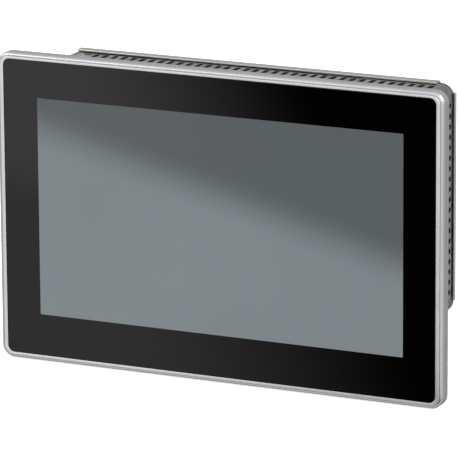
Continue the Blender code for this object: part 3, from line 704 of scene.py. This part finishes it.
def vent_tool():
    """All the ventilation slots of the housing's top and side walls."""
    pitch, width = 0.00585, 0.0030
    first, top_length, side_length = 0.0245, 0.0148, 0.0182
    top, left, right = HOUSING_HIGH.z, HOUSING_LOW.x, HOUSING_HIGH.x

    def fill(bm):
        for i in range(36):
            x = left + 0.0208 + i * pitch
            corner = lambda a, d, t, x=x: (x + a, at(d), top + t)
            slot_shape(bm, corner, first, width, top_length)
        for i in range(19):
            z = top - 0.0112 - i * pitch
            for wall in (left, right):
                corner = lambda a, d, t, z=z, wall=wall: (wall + t, at(d), z + a)
                slot_shape(bm, corner, first, width, side_length)
        block(bm, (left + 0.0130, at(0.0356), top - 0.003), (left + 0.0178, at(0.0376), top + 0.003))

    # The slots' cut walls take the near-black edge look: bare sheared steel, and painted shade inside the
    # slots.
    return tool_from("vent_tool", fill, SHEARED_AND_SHADED)


def window_tool():
    """Openings in the housing's lower wall, one around each connector."""
    bottom = HOUSING_LOW.z
    through = (bottom - 0.002, bottom + SHEET + 0.002)

    def fill(bm):
        for node in ("power_header", "ethernet_port_1", "ethernet_port_2", "usb_port_1", "usb_port_2"):
            low, high, _, first, last = measures(node)
            bar(bm, (low.x - GAP, high.x + GAP), (first - GAP, last + GAP), 0.0005, through)
        for node, half, last in (("serial_port", 0.0098, 0.0408), ("card_socket", 0.0128, 0.0327)):
            bar(bm, about(measures(node)[2], half), (0.0289, last), 0.0005, through)
        bar(bm, about(centre_of("mode_switch_knob").x, 0.0035), (0.0325, 0.0355), 0.0004, through)
        for node, radius in (("reset_button", 0.0023), ("earth_screw", 0.0022)):
            point = centre_of(node)
            lathe(bm, (point.x, point.y, bottom), "z", [(radius, -0.002), (radius, 0.0032)])

    return tool_from("window_tool", fill, SHEARED_AND_SHADED)


def build_housing():
    """Vented wall with bent edges and an inward lip at each end."""
    front, back = depth_of(HOUSING_LOW.y), depth_of(HOUSING_HIGH.y)
    lip = 0.0075
    bend = 0.0016
    outer = [(lip, front)] + arc((bend, front + bend), bend, -90, -180, 5)
    outer += arc((bend, back - bend), bend, 180, 90, 5) + [(lip, back)]
    thin = SHEET
    tight = bend - thin
    inner = [(lip, back - thin)] + arc((bend, back - bend), tight, 90, 180, 3)
    inner += arc((bend, front + bend), tight, -180, -90, 3) + [(lip, front + thin)]
    bm = bmesh.new()
    skin(bm, [facing_y(housing_ring(inset), depth) for inset, depth in outer + inner], closed=True)
    wall = make("housing", bm, ZINC, "rear_housing")

    lip_tool = tool_from("lip_tool", lambda bm: screw_holes(bm, "cover", 6, back, 0.0017, 0.003), SHEARED_AND_SHADED)
    carve(wall, [vent_tool(), window_tool(), lip_tool])
    ease_edges(wall, 0.00016, 2, 42)


def flange_profile(front, plate_front):
    """(outward, depth) outline of a flange bent from the cover, seen end on."""
    back = depth_of(COVER_HIGH.y)
    near, far = GAP, GAP + SHEET
    radius = 0.0018
    ease = 0.0005
    profile = [(-0.0030, back)]
    profile += arc((far - radius, back - radius), radius, 90, 0, 7)
    profile += arc((far - ease, front + ease), ease, 0, -90, 3)
    profile += arc((near + ease, front + ease), ease, -90, -180, 3)
    profile += arc((far - radius, back - radius), radius - SHEET, 0, 90, 4)[:-1]
    profile += [(-0.0008, plate_front + 0.0001), (-0.0030, plate_front + 0.0001)]
    return profile


def build_cover():
    """Back plate with a pressed stiffening bead and four bent flanges."""
    back = depth_of(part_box("cover_screw_1")[1].y) - 0.0012
    plate_front = back - SHEET
    ease = 0.0003
    rings = [facing_y(housing_ring(0.0), plate_front)]
    for inset, lift in reversed(corner_round(ease)):
        rings.append(facing_y(housing_ring(inset), back - ease + lift))
    bead = [(0.0150, 0.0), (0.0155, 0.0001), (0.0162, 0.0005), (0.0182, 0.0005), (0.0189, 0.0001),
            (0.0194, 0.0)]
    for inset, sink in bead:
        ring = rounded(HOUSING_LOW.x + inset, HOUSING_HIGH.x - inset, HOUSING_LOW.z + inset,
                       HOUSING_HIGH.z - inset, 0.0120 - (inset - 0.0150))
        rings.append(facing_y(ring, back - sink))
    bm = bmesh.new()
    skin(bm, rings)
    cover = make("cover", bm, NICKEL, "rear_cover")

    top_span = (HOUSING_LOW.x + 0.0063, HOUSING_HIGH.x - 0.0085)
    side_span = (HOUSING_LOW.z + 0.0083, HOUSING_HIGH.z - 0.0048)

    def flange(name, place, span, front):
        bm = bmesh.new()
        profile = flange_profile(front, plate_front)
        skin(bm, [[place(out, depth, s) for out, depth in profile] for s in span])
        return make(name, bm, NICKEL, body=None)

    flanges = [
        flange("flange_top", lambda o, d, s: (s, at(d), HOUSING_HIGH.z + o), top_span, 0.0416),
        flange("flange_bottom", lambda o, d, s: (s, at(d), HOUSING_LOW.z - o), top_span, 0.0436),
        flange("flange_left", lambda o, d, s: (HOUSING_LOW.x - o, at(d), s), side_span, 0.0452),
        flange("flange_right", lambda o, d, s: (HOUSING_HIGH.x + o, at(d), s), side_span, 0.0452),
    ]
    carve(cover, flanges, "UNION")

    cut(cover, lambda bm: screw_holes(bm, "cover", 6, back, 0.0017, 0.003), SHEARED_AND_SHADED)
    ease_edges(cover, 0.00014, 2, 42)


def build_tray():
    """Drawn tray over the display, with slots for the mounting clamps."""
    front, back = depth_of(TRAY_LOW.y), depth_of(TRAY_HIGH.y)
    bend = 0.0024
    outer = [(0.0, front)] + arc((bend, back - bend), bend, 180, 90, 6)
    inner = arc((bend, back - bend), bend - SHEET, 90, 180, 4) + [(SHEET, front)]
    bm = bmesh.new()
    skin(bm, [facing_y(tray_ring(inset), depth) for inset, depth in outer[::-1] + inner[::-1]])
    tray = make("tray", bm, ZINC, "chassis_tray")

    def openings(bm):
        first, width = 0.0125, 0.0030
        for x in (-0.0800, 0.0020, 0.0840):
            for z in (TRAY_HIGH.z, TRAY_LOW.z):
                bar(bm, about(x, 0.0070), (first, first + width), 0.0006, about(z, 0.003))
        for wall in (TRAY_LOW.x, TRAY_HIGH.x):
            for z in (-0.0520, 0.0560):
                outline = rounded(first, first + width, *about(z, 0.0070), 0.0006, 3)
                skin(bm, [[(wall + t, at(d), h) for d, h in outline] for t in (-0.003, 0.003)])
        cable = rounded(0.020, 0.056, 0.026, 0.040, 0.002, 4)
        prism(bm, cable, facing_y, (back - 0.004, back + 0.001))
        screw_holes(bm, "chassis", 4, back, 0.0018, 0.004)

    cut(tray, openings, SHEARED_AND_SHADED)
    ease_edges(tray, 0.00016, 2, 42)


# ---------------------------------------------------------------- screws and label


def cross_recess(bm, centre, size, floor, top):
    """Tapered cross-shaped pocket for a screwdriver, opening towards +Y."""
    arm, half = size, size * 0.28
    outline = [
        (arm, -half), (arm, half), (half, half), (half, arm), (-half, arm), (-half, half),
        (-arm, half), (-arm, -half), (-half, -half), (-half, -arm), (half, -arm), (half, -half),
    ]
    rings = []
    for scale, y in ((0.62, floor), (1.0, top)):
        rings.append([(centre.x + x * scale, y, centre.z + z * scale) for x, z in outline])
    skin(bm, rings)


def build_pan_screw(node, name):
    """Pan-head screw with a cross recess, standing where its CAD node is."""
    low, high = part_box(node)
    centre = (low + high) / 2
    radius = (high.x - low.x) / 2
    head = 0.0012 if node.startswith("cover") else 0.0015
    seat = high.y - head
    profile = [(radius * 0.46, low.y), (radius * 0.46, seat), (radius * 0.97, seat)]
    profile += [(radius, seat + 0.0001), (radius, seat + 0.0003)]
    profile += [(r, high.y - 0.0007 + h) for r, h in arc((radius - 0.0008, 0), (0.0008, 0.0007), 0, 90, 5)]
    bm = bmesh.new()
    lathe(bm, (centre.x, 0, centre.z), "y", profile)
    screw = make(name, bm, STEEL, node)
    floor, top = seat + 0.0002, high.y + 0.0001
    cut(screw, lambda bm: cross_recess(bm, centre, radius * 0.56, floor, top), STEEL)


def build_label():
    """Blank plate with a fine pressed frame line."""
    low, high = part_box("rating_plate")
    front, back = depth_of(low.y), depth_of(high.y)
    bm = bmesh.new()
    levels = [(0.0, front), (0.0, back - 0.00008), (0.00008, back), (0.0018, back), (0.0019, back - 0.0001),
              (0.0022, back - 0.0001), (0.0023, back)]
    rings = []
    for inset, depth in levels:
        ring = rounded(low.x + inset, high.x - inset, low.z + inset, high.z - inset, 0.0020 - inset * 0.6, 6)
        rings.append(facing_y(ring, depth))
    skin(bm, rings)
    make("blank_plate", bm, LABEL, "rating_plate")


# ---------------------------------------------------------------- connectors on the underside


def build_ethernet(number):
    """Shielded network socket with contacts and two lamps."""
    node = f"ethernet_port_{number}"
    low, high, x, first, last = measures(node)
    face = low.z
    bm = bmesh.new()
    soft_bar(bm, (low.x, high.x), (first, last), 0.0006, (face, high.z), 0.0003, 4, 0.5)
    port = make(f"ethernet_shell_{number}", bm, [STEEL, BLACK], node)

    def mouth(bm):
        half, key = 0.00595, 0.0031
        step, roof = first + 0.0092, first + 0.0118
        outline = [
            (x - half, first + 0.0022), (x + half, first + 0.0022), (x + half, step),
            (x + key, step), (x + key, roof), (x - key, roof), (x - key, step), (x - half, step),
        ]
        prism(bm, outline, facing_z, (face - 0.001, face + 0.0131))

    def lamps(bm):
        for side in (-1, 1):
            sides, depths = about(x + side * 0.0056, 0.0012), (last - 0.0034, last - 0.0013)
            bar(bm, sides, depths, 0.0002, (face - 0.001, face + 0.0008), 2)

    carve(port, [tool_from("mouth_tool", mouth, BLACK), tool_from("lamp_tool", lamps, BLACK)])
    ease_edges(port, 0.00012, 2, 50)

    bm = bmesh.new()
    for i in range(8):
        place = x + (i - 3.5) * 0.00102
        points = [(0.0006, 0.0125), (0.0008, 0.0100), (0.0024, 0.0060), (0.0026, 0.0054)]
        rings = []
        for lift, height in points:
            d = first + 0.0022 + lift
            left, right = about(place, 0.0002)
            outline = [(left, d), (right, d), (right, d + 0.0003), (left, d + 0.0003)]
            rings.append(facing_z(outline, face + height))
        skin(bm, rings)
    make(f"ethernet_contacts_{number}", bm, GOLD)

    for side, look, label in ((-1, LAMP_GREEN, "green"), (1, LAMP_AMBER, "amber")):
        bm = bmesh.new()
        sides, depths = about(x + side * 0.0056, 0.0011), (last - 0.0033, last - 0.0014)
        soft_bar(bm, sides, depths, 0.0002, (face + 0.0001, face + 0.0007), 0.0001, 2)
        make(f"ethernet_lamp_{label}_{number}", bm, look)


def build_usb(number):
    """Host socket: rolled shell, tongue and four contacts."""
    node = f"usb_port_{number}"
    low, high, x, first, last = measures(node)
    face = low.z
    bm = bmesh.new()
    soft_bar(bm, (low.x, high.x), (first, last), 0.0007, (face, high.z), 0.00018, 4, 1.0)
    port = make(f"usb_shell_{number}", bm, STEEL, node)

    def mouth(bm):
        sides, depths = (low.x + 0.0005, high.x - 0.0005), (first + 0.0005, last - 0.0005)
        bar(bm, sides, depths, 0.0004, (face - 0.001, face + 0.0106), 4)
        for side in (-1, 1):
            for across in (-0.0032, 0.0032):
                left, right = x + across - 0.0009, x + across + 0.0009
                near, far = about(last if side > 0 else first, 0.001)
                outline = [(left, near), (right, near), (right, far), (left, far)]
                prism(bm, outline, facing_z, (face + 0.0035, face + 0.0060))

    cut(port, mouth, STEEL)

    bm = bmesh.new()
    sides, depths = about(x, 0.0056), (last - 0.0028, last - 0.0010)
    soft_bar(bm, sides, depths, 0.0003, (face + 0.0012, face + 0.0104), 0.00025, 2)
    make(f"usb_tongue_{number}", bm, WHITE if number == 1 else BLACK)

    bm = bmesh.new()
    for across in (-0.0035, -0.0010, 0.0010, 0.0035):
        left, right = about(x + across, 0.0005)
        near, far = last - 0.0030, last - 0.0027
        outline = [(left, near), (right, near), (right, far), (left, far)]
        prism(bm, outline, facing_z, (face + 0.0018, face + 0.0100))
    make(f"usb_contacts_{number}", bm, GOLD)


def build_serial():
    """Nine-hole D connector with its flange, shell and insulator."""
    low, high, x, first, last = measures("serial_port")
    middle = (first + last) / 2
    bottom = HOUSING_LOW.z
    bm = bmesh.new()
    soft_bar(bm, (low.x, high.x), (first, last), 0.0016, (bottom - 0.0013, bottom - GAP), 0.0002, 5, 1.0)
    bar(bm, about(x, 0.0095), (first, middle + 0.0050), 0.0004, (bottom - GAP + 0.0002, high.z), 2)

    def shell_outline(inset):
        wide, narrow = 0.0084 - inset, 0.0076 - inset
        reach, radius = 0.0040 - inset, 0.0016 - inset
        corners = ((narrow, -reach), (wide, reach), (-wide, reach), (-narrow, -reach))
        starts = (-90, 0, 90, 180)
        points = []
        for (a, d), start in zip(corners, starts):
            centre = (x + a - radius * (1 if a > 0 else -1), middle + d - radius * (1 if d > 0 else -1))
            points += arc(centre, radius, start, start + 90, 5)
        return points

    lip = low.z
    rings = [facing_z(shell_outline(inset), z) for inset, z in (
        (-0.0004, bottom - 0.0014), (-0.0001, bottom - 0.0018), (0.0, bottom - 0.0024), (0.0, lip + 0.00015),
        (0.00015, lip), (0.0003, lip), (0.0004, lip + 0.00012), (0.0004, lip + 0.0009))]
    skin(bm, rings)
    make("serial_shell", bm, STEEL, "serial_port")

    bm = bmesh.new()
    rings = [facing_z(shell_outline(inset), z) for inset, z in (
        (0.00045, lip + 0.0020), (0.00045, lip + 0.0006), (0.0006, lip + 0.00045))]
    skin(bm, rings)
    insulator = make("serial_insulator", bm, BLACK)

    def holes(bm):
        for row, count in ((-1, 4), (1, 5)):
            for i in range(count):
                across = (i - (count - 1) / 2) * 0.00277
                lathe(bm, (x + across, at(middle + row * 0.00142), lip), "z",
                      [(0.00055, -0.001), (0.00055, 0.0016)], 12)

    cut(insulator, holes, BLACK)


def build_jackscrew(number):
    """Hexagonal threaded nut beside the D connector."""
    node = f"jackscrew_{number}"
    low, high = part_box(node)
    centre = (low + high) / 2
    radius = (high.x - low.x) / 2
    ease = 0.0003
    bore = [(0.00115, low.z + 0.0030), (0.00115, low.z + 0.0003), (0.0014, low.z)]
    outside = [(radius - ease, low.z), (radius, low.z + ease), (radius, high.z - ease),
               (radius - ease, high.z)]
    bm = bmesh.new()
    hexagonal(bm, centre, [(r, z, False) for r, z in bore] + [(r, z, True) for r, z in outside])
    make(f"hex_nut_{number}", bm, STEEL, node)


def build_power():
    """Header with three pins, and the pluggable terminal block that rides on its own body."""
    low, high, x, first, last = measures("power_header")
    face = low.z
    bm = bmesh.new()
    soft_bar(bm, (low.x, high.x), (first, last), 0.0005, (face, high.z), 0.0003, 3, 0.5)
    header = make("power_socket", bm, GREEN, "power_header")

    def well(bm):
        bar(bm, about(x, 0.0090), (first + 0.0010, last - 0.0010), 0.0003, (face - 0.001, face + 0.0111), 2)

    cut(header, well, GREEN)
    ease_edges(header, 0.00015, 2, 50)

    bm = bmesh.new()
    for pole in (-1, 0, 1):
        place, middle = x + pole * POLE_PITCH, first + 0.0060
        outline = rounded(*about(place, 0.0005), *about(middle, 0.0005), 0.0001, 1)
        rings = [facing_z(outline, z) for z in (face + 0.0112, face + 0.0030)]
        tip = [(place + (a - place) * 0.5, middle + (d - middle) * 0.5) for a, d in outline]
        rings.append(facing_z(tip, face + 0.0022))
        skin(bm, rings)
    make("power_pins", bm, STEEL)

    build_power_plug(x, first, last)


def build_power_plug(x, first, last):
    """Terminal block: head, neck, three clamps and their screws."""
    low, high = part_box("power_plug")
    neck_first, neck_last = first + 0.0010 + GAP, last - 0.0010 - GAP
    head_top = HOUSING_LOW.z - 0.0014
    sides, depths = (low.x, high.x), (neck_first, depth_of(high.y))
    bm = bmesh.new()
    soft_bar(bm, sides, depths, 0.0006, (low.z, head_top), 0.0003, 3, 0.5)
    plug = make("terminal_plug", bm, [GREEN, BLACK], "power_plug", body="power_plug")
    bm = bmesh.new()
    soft_bar(bm, sides, (neck_first, neck_last), 0.0004, (head_top - 0.0010, high.z), 0.0003, 3, 0.5)
    for pole in (-1, 1):
        side = x + pole * 0.0087
        block(bm, (side - 0.0006, at(neck_first + 0.002), head_top - 0.0060),
              (side + 0.00001, at(neck_first + 0.004), head_top - 0.0010))
    neck = make("neck", bm, GREEN, body=None)
    carve(plug, [neck], "UNION")

    def pockets(bm):
        for pole in (-1, 0, 1):
            place = x + pole * POLE_PITCH
            depths = (neck_first + 0.0014, neck_first + 0.0048)
            bar(bm, about(place, 0.0017), depths, 0.0003, (low.z - 0.001, low.z + 0.0055))
            centre = (place, at(depth_of(high.y)), low.z + 0.0050)
            lathe(bm, centre, "y", [(0.0018, -0.0022), (0.0018, 0.001)], 24)
            depths = (first + 0.0052, first + 0.0068)
            bar(bm, about(place, 0.0008), depths, 0.0001, (high.z - 0.0085, high.z + 0.001), 1)

    cut(plug, pockets, GREEN)
    ease_edges(plug, 0.00014, 2, 50)

    for pole in (-1, 0, 1):
        place = x + pole * POLE_PITCH
        bm = bmesh.new()
        top = high.y - 0.0006
        profile = [(0.0016, -0.0014), (0.0016, -0.0002), (0.0014, 0.0)]
        lathe(bm, (place, top, low.z + 0.0050), "y", profile, 24)
        screw = make(f"terminal_screw_{pole + 2}", bm, STEEL, body="power_plug")
        corners = ((place - 0.0017, top - 0.0006, low.z + 0.0047),
                   (place + 0.0017, top + 0.0005, low.z + 0.0053))
        cut(screw, lambda bm, corners=corners: block(bm, *corners), STEEL)
        bm = bmesh.new()
        outside = rounded(*about(place, 0.0016), neck_first + 0.0015, neck_first + 0.0047, 0.0003, 3)
        inside = rounded(*about(place, 0.0012), neck_first + 0.0019, neck_first + 0.0043, 0.0003, 3)
        base, upper = low.z + 0.0016, low.z + 0.0016 + 0.0036
        rings = ((outside, upper), (outside, base), (inside, base), (inside, upper))
        skin(bm, [facing_z(outline, z) for outline, z in rings], closed=True)
        make(f"wire_clamp_{pole + 2}", bm, STEEL, body="power_plug")


def build_card_door():
    """Door frame, flap with a finger lip, and hinge pin over the memory card socket."""
    low, high, x, first, last = measures("card_door_frame")
    top = high.z
    face = top - 0.0010
    pin_low, pin_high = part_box("card_hinge_pin")
    hinge = depth_of((pin_low.y + pin_high.y) / 2)
    hinge_z = (pin_low.z + pin_high.z) / 2
    bm = bmesh.new()
    soft_bar(bm, (low.x, high.x), (first, last), 0.0012, (face, top), 0.0002, 4, 1.0)
    door_frame = make("door_frame", bm, BLACK, "card_door_frame")
    ears = []
    for side in (-1, 1):
        bm = bmesh.new()
        outline = arc((hinge, hinge_z), 0.0018, 180, 360, 8)
        outline += [(hinge + 0.0018, face + 0.0004), (hinge - 0.0018, face + 0.0004)]
        centre = x + side * 0.0180
        skin(bm, [[(centre + t, at(d), z) for d, z in outline] for t in (-0.0011, 0.0011)])
        ears.append(make(f"ear_{side}", bm, BLACK, body=None))
    carve(door_frame, ears, "UNION")

    def bore(bm):
        lathe(bm, (x, at(hinge), hinge_z), "x", [(0.0009, -0.02), (0.0009, 0.02)], 20)

    def openings(bm):
        depths = (first + 0.0015, first + 0.0072)
        bar(bm, about(x, 0.0140), depths, 0.0008, (face - 0.001, top + 0.001))
        bore(bm)

    cut(door_frame, openings, BLACK)
    ease_edges(door_frame, 0.00012, 2, 50)

    flap_low, flap_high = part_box("card_flap")
    plate_top = face - GAP
    plate_bottom = plate_top - 0.0016
    bm = bmesh.new()

    def flap_outline(inset):
        left, right = flap_low.x + inset, flap_high.x - inset
        return rounded(left, right, depth_of(flap_low.y) + inset, hinge - inset * 0.2, 0.0010 - inset, 4)

    soft_prism(bm, flap_outline, facing_z, plate_bottom, plate_top, 0.0003)
    flap = make("door_flap", bm, BLACK, "card_flap", body="card_flap")
    bm = bmesh.new()
    half = (flap_high.x - flap_low.x) / 2
    profile = [(0.0014, -half), (0.0016, -half + 0.0002), (0.0016, half - 0.0002), (0.0014, half)]
    lathe(bm, (x, at(hinge), hinge_z), "x", profile, 24)
    for i in range(3):
        d = depth_of(flap_low.y) + 0.0014 + i * 0.0009
        bar(bm, about(x, 0.0060), (d, d + 0.0004), 0.00019, (plate_bottom - 0.0002, plate_bottom + 0.0004), 2)
    knuckle = make("knuckle", bm, BLACK, body=None)
    carve(flap, [knuckle], "UNION")
    cut(flap, bore, BLACK)
    ease_edges(flap, 0.00010, 2, 50)

    bm = bmesh.new()
    half = (pin_high.x - pin_low.x) / 2
    profile = [(0.0006, -half), (0.00078, -half + 0.0002), (0.00078, half - 0.0002), (0.0006, half)]
    lathe(bm, (x, at(hinge), hinge_z), "x", profile, 20)
    make("hinge_pin", bm, STEEL, "card_hinge_pin")


def build_button():
    """Reset button with a dished face."""
    low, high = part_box("reset_button")
    centre = (low + high) / 2
    inner = HOUSING_LOW.z + SHEET
    radius = 0.0020
    profile = [(0.0002, low.z + 0.00022), (0.0008, low.z + 0.00014), (0.0014, low.z + 0.00003),
               (0.0016, low.z)]
    profile += [(radius - 0.00012, low.z + 0.00006), (radius, low.z + 0.00025), (radius, inner + GAP)]
    profile += [(0.0028, inner + GAP), (0.0028, inner + 0.0010), (0.0012, inner + 0.0010), (0.0012, high.z)]
    bm = bmesh.new()
    lathe(bm, (centre.x, centre.y, 0), "z", profile)
    make("push_button", bm, moulded("button_grey", (0.16, 0.16, 0.17), 0.45), "reset_button",
         body="reset_button")


def build_knob():
    """Slide switch knob with three grip ridges."""
    low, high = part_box("mode_switch_knob")
    centre = (low + high) / 2
    inner = HOUSING_LOW.z + SHEET
    first, last = depth_of(low.y) + 0.0009, depth_of(high.y) - 0.0009
    bm = bmesh.new()
    heights = (low.z + 0.0002, inner + 0.0006)
    soft_bar(bm, about(centre.x, 0.0012), (first, last), 0.0003, heights, 0.0002)
    knob = make("slide_knob", bm, BLACK, "mode_switch_knob", body="mode_switch_knob")
    bm = bmesh.new()
    for i in (-1, 0, 1):
        sides = about(centre.x + i * 0.0007, 0.00018)
        bar(bm, sides, (first + 0.0002, last - 0.0002), 0.0001, (low.z, low.z + 0.0005), 2)
    bar(bm, (low.x, high.x), (depth_of(low.y), depth_of(high.y)), 0.0003, (inner + GAP, high.z))
    carve(knob, [make("ridges", bm, BLACK, body=None)], "UNION")


def build_earth_screw():
    """Hexagon-headed screw with a washer for the earth lead."""
    low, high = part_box("earth_screw")
    centre = (low + high) / 2
    base = HOUSING_LOW.z - GAP
    bm = bmesh.new()
    lathe(bm, (centre.x, centre.y, 0), "z",
          [(0.0040, base - 0.0009), (0.0042, base - 0.0007), (0.0042, base - 0.0001), (0.0041, base),
           (0.0019, base), (0.0019, high.z)])
    screw = make("earth_bolt", bm, STEEL, "earth_screw")
    bm = bmesh.new()
    hexagonal(bm, centre, [(0.0030 * 0.97, low.z, False), (0.0035, low.z + 0.0004, True),
                           (0.0035, base - 0.0007, True)])
    head = make("hex_head", bm, STEEL, body=None)

    def slot_across(turn):
        reach = Vector((cos(turn), sin(turn), 0)) * 0.0017
        half = Vector((-sin(turn), cos(turn), 0)) * 0.00045

        def fill(bm):
            skin(bm, [[Vector((centre.x, centre.y, z)) + s * reach * scale + t * half * scale
                       for s, t in ((1, -1), (1, 1), (-1, 1), (-1, -1))]
                      for scale, z in ((1.0, low.z - 0.0002), (0.6, low.z + 0.0014))])

        return fill

    slots = [tool_from(f"earth_tool_{n}", slot_across(n * pi / 2), STEEL) for n in (0, 1)]
    carve(head, slots)
    carve(screw, [head], "UNION")


# ---------------------------------------------------------------- carried-over CAD nodes


def dress_cad_nodes():
    """Give every CAD node that stays visible a procedural material of its own kind."""
    slots = {entry["node"]: entry["material_slot"] for entry in frame["record"]["subparts"]}
    looks = {
        "cast_aluminium": SATIN, "cover_glass": PRINTED, "foam_rubber": FOAM, "sensor_film": PRINTED,
        "display_face": WINDOW, "light_guide": LIGHT_GUIDE, "steel": STEEL, "zinc_sheet": ZINC,
        "nickel_sheet": NICKEL, "board_green": BOARD, "flex_amber": AMBER, "cable_white": CABLE,
        "black_plastic": BLACK, "pad_grey": PAD, "green_plastic": GREEN, "plate_silver": LABEL,
    }
    for node, obj in frame["nodes"].items():
        obj.data.materials.clear()
        obj.data.materials.append(looks[slots[node]])


# ---------------------------------------------------------------- floor, light and camera


def level_sheet(low, high, z):
    """One level rectangle."""
    bm = bmesh.new()
    corners = (low, (high[0], low[1]), high, (low[0], high[1]))
    bm.faces.new([bm.verts.new((x, y, z)) for x, y in corners])
    return bm


def build_stage():
    """A pale floor that glows a little, so only the contact shadow shows. It is clear from below."""
    reach = 14.0
    z = CAD_LOW.z - 0.0005
    bm = level_sheet((-reach, -reach), (reach, reach), z)
    look = Look("floor_paper", (0.85, 0.85, 0.85), 0.9)
    look.paint(look.spread(look.noise(2, 2), 0, 1), (0.84, 0.84, 0.84), (0.86, 0.86, 0.86))
    look.shader.inputs["Emission Color"].default_value = (1, 1, 1, 1)
    look.shader.inputs["Emission Strength"].default_value = 0.60
    clear = look.tree.nodes.new("ShaderNodeBsdfTransparent")
    side = look.tree.nodes.new("ShaderNodeNewGeometry")
    mix = look.tree.nodes.new("ShaderNodeMixShader")
    look.link(side.outputs["Backfacing"], mix.inputs[0])
    look.link(look.shader.outputs[0], mix.inputs[1])
    look.link(clear.outputs[0], mix.inputs[2])
    look.link(mix.outputs[0], look.tree.nodes["Material Output"].inputs["Surface"])
    floor = make("floor", bm, look.material, body=None)
    floor.visible_glossy = False
    floor.visible_diffuse = False
    floor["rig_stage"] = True
    build_flag(z + 0.0002)


def build_flag(z):
    """Black cloth in front on the right, seen only in reflections; it fades out towards both ends."""
    bm = level_sheet((-1.2, -1.5), (1.2, -0.030), z)
    look = Look("flag_cloth", (0.004, 0.004, 0.004), 0.95)
    weave = look.noise(900, 2)
    look.paint(look.spread(weave, 0, 1), (0.003, 0.003, 0.003), (0.006, 0.006, 0.006))
    shade = look.spread(look.along((0.0, 1.0, 0.0)), 0.0, 0.3, -0.49, -0.33)
    rise = look.spread(look.along((0.874, -0.486, 0.0)), shade, 1.0, -0.054, 0.135)
    solid = look.tree.nodes.new("ShaderNodeMath")
    solid.operation = "MULTIPLY"
    look.link(rise, solid.inputs[0])
    look.link(look.spread(look.along((0.924, -0.383, 0.0)), 1.0, 0.0, 0.133, 0.160), solid.inputs[1])
    look.link(solid.outputs[0], look.shader.inputs["Alpha"])
    look.shader.inputs["Specular IOR Level"].default_value = 0.0
    flag = make("flag", bm, look.material, body=None)
    for ray in ("camera", "diffuse", "shadow", "transmission"):
        setattr(flag, "visible_" + ray, False)
    flag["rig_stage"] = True


def area_light(name, place, size, power):
    data = bpy.data.lights.new(name, "AREA")
    data.shape = "RECTANGLE"
    data.size, data.size_y = size
    data.energy = power
    light = bpy.data.objects.new(name, data)
    light.location = place
    light.rotation_euler = (-Vector(place)).to_track_quat("-Z", "Y").to_euler()
    bpy.context.scene.collection.objects.link(light)


def build_light():
    """Soft boxes above, on a room that is bright in front and dimmer behind and below."""
    area_light("key_light", (1.25, 0.05, 0.95), (0.7, 0.7), 18.0)
    area_light("left_light", (-1.3, -1.0, 1.0), (0.9, 0.9), 8.0)
    world = bpy.data.worlds.new("studio")
    world.use_nodes = True
    tree = world.node_tree
    background = tree.nodes["Background"]
    coords = tree.nodes.new("ShaderNodeTexCoord")
    slope = tree.nodes.new("ShaderNodeVectorMath")
    slope.operation = "DOT_PRODUCT"
    slope.inputs[1].default_value = (0.06, -0.32, 0.22)
    tree.links.new(coords.outputs["Generated"], slope.inputs[0])
    level = tree.nodes.new("ShaderNodeMath")
    level.operation = "ADD"
    level.inputs[1].default_value = 0.77
    tree.links.new(slope.outputs["Value"], level.inputs[0])
    ray = tree.nodes.new("ShaderNodeLightPath")
    seen = tree.nodes.new("ShaderNodeMix")
    seen.inputs["B"].default_value = 1.0
    tree.links.new(ray.outputs["Is Camera Ray"], seen.inputs["Factor"])
    tree.links.new(level.outputs[0], seen.inputs["A"])
    tree.links.new(seen.outputs["Result"], background.inputs["Strength"])
    background.inputs["Color"].default_value = (1, 1, 1, 1)
    bpy.context.scene.world = world
    bpy.context.scene.view_settings.view_transform = "Standard"


def build_camera():
    """Long lens, a little to the right of the panel and above it."""
    azimuth, elevation, roll = radians(25.31), radians(14.19), radians(-0.381)
    distance = 2.5123
    target = Vector((0.00797, FRONT_Y, 0.00061))
    back = Vector((sin(azimuth) * cos(elevation), -cos(azimuth) * cos(elevation), sin(elevation)))
    data = bpy.data.cameras.new("camera")
    data.lens = 357.6
    data.sensor_width = 36.0
    camera = bpy.data.objects.new("camera", data)
    camera.location = target + back * distance
    turn = (-back).to_track_quat("-Z", "Y").to_matrix() @ Matrix.Rotation(roll, 3, "Z")
    camera.rotation_euler = turn.to_euler()
    data.clip_start, data.clip_end = 0.1, 100.0
    bpy.context.scene.collection.objects.link(camera)
    bpy.context.scene.camera = camera


# ---------------------------------------------------------------- assembly

build_camera()
dress_cad_nodes()
build_frame()
build_glass()
build_gasket()
build_tray()
build_housing()
build_cover()
for n in range(1, 7):
    build_pan_screw(f"cover_screw_{n}", f"cover_fixing_{n}")
for n in range(1, 5):
    build_pan_screw(f"chassis_screw_{n}", f"chassis_fixing_{n}")
build_label()
build_power()
for n in (1, 2):
    build_ethernet(n)
    build_usb(n)
    build_jackscrew(n)
build_serial()
build_card_door()
build_button()
build_knob()
build_earth_screw()
flatten_normals()
build_stage()
build_light()
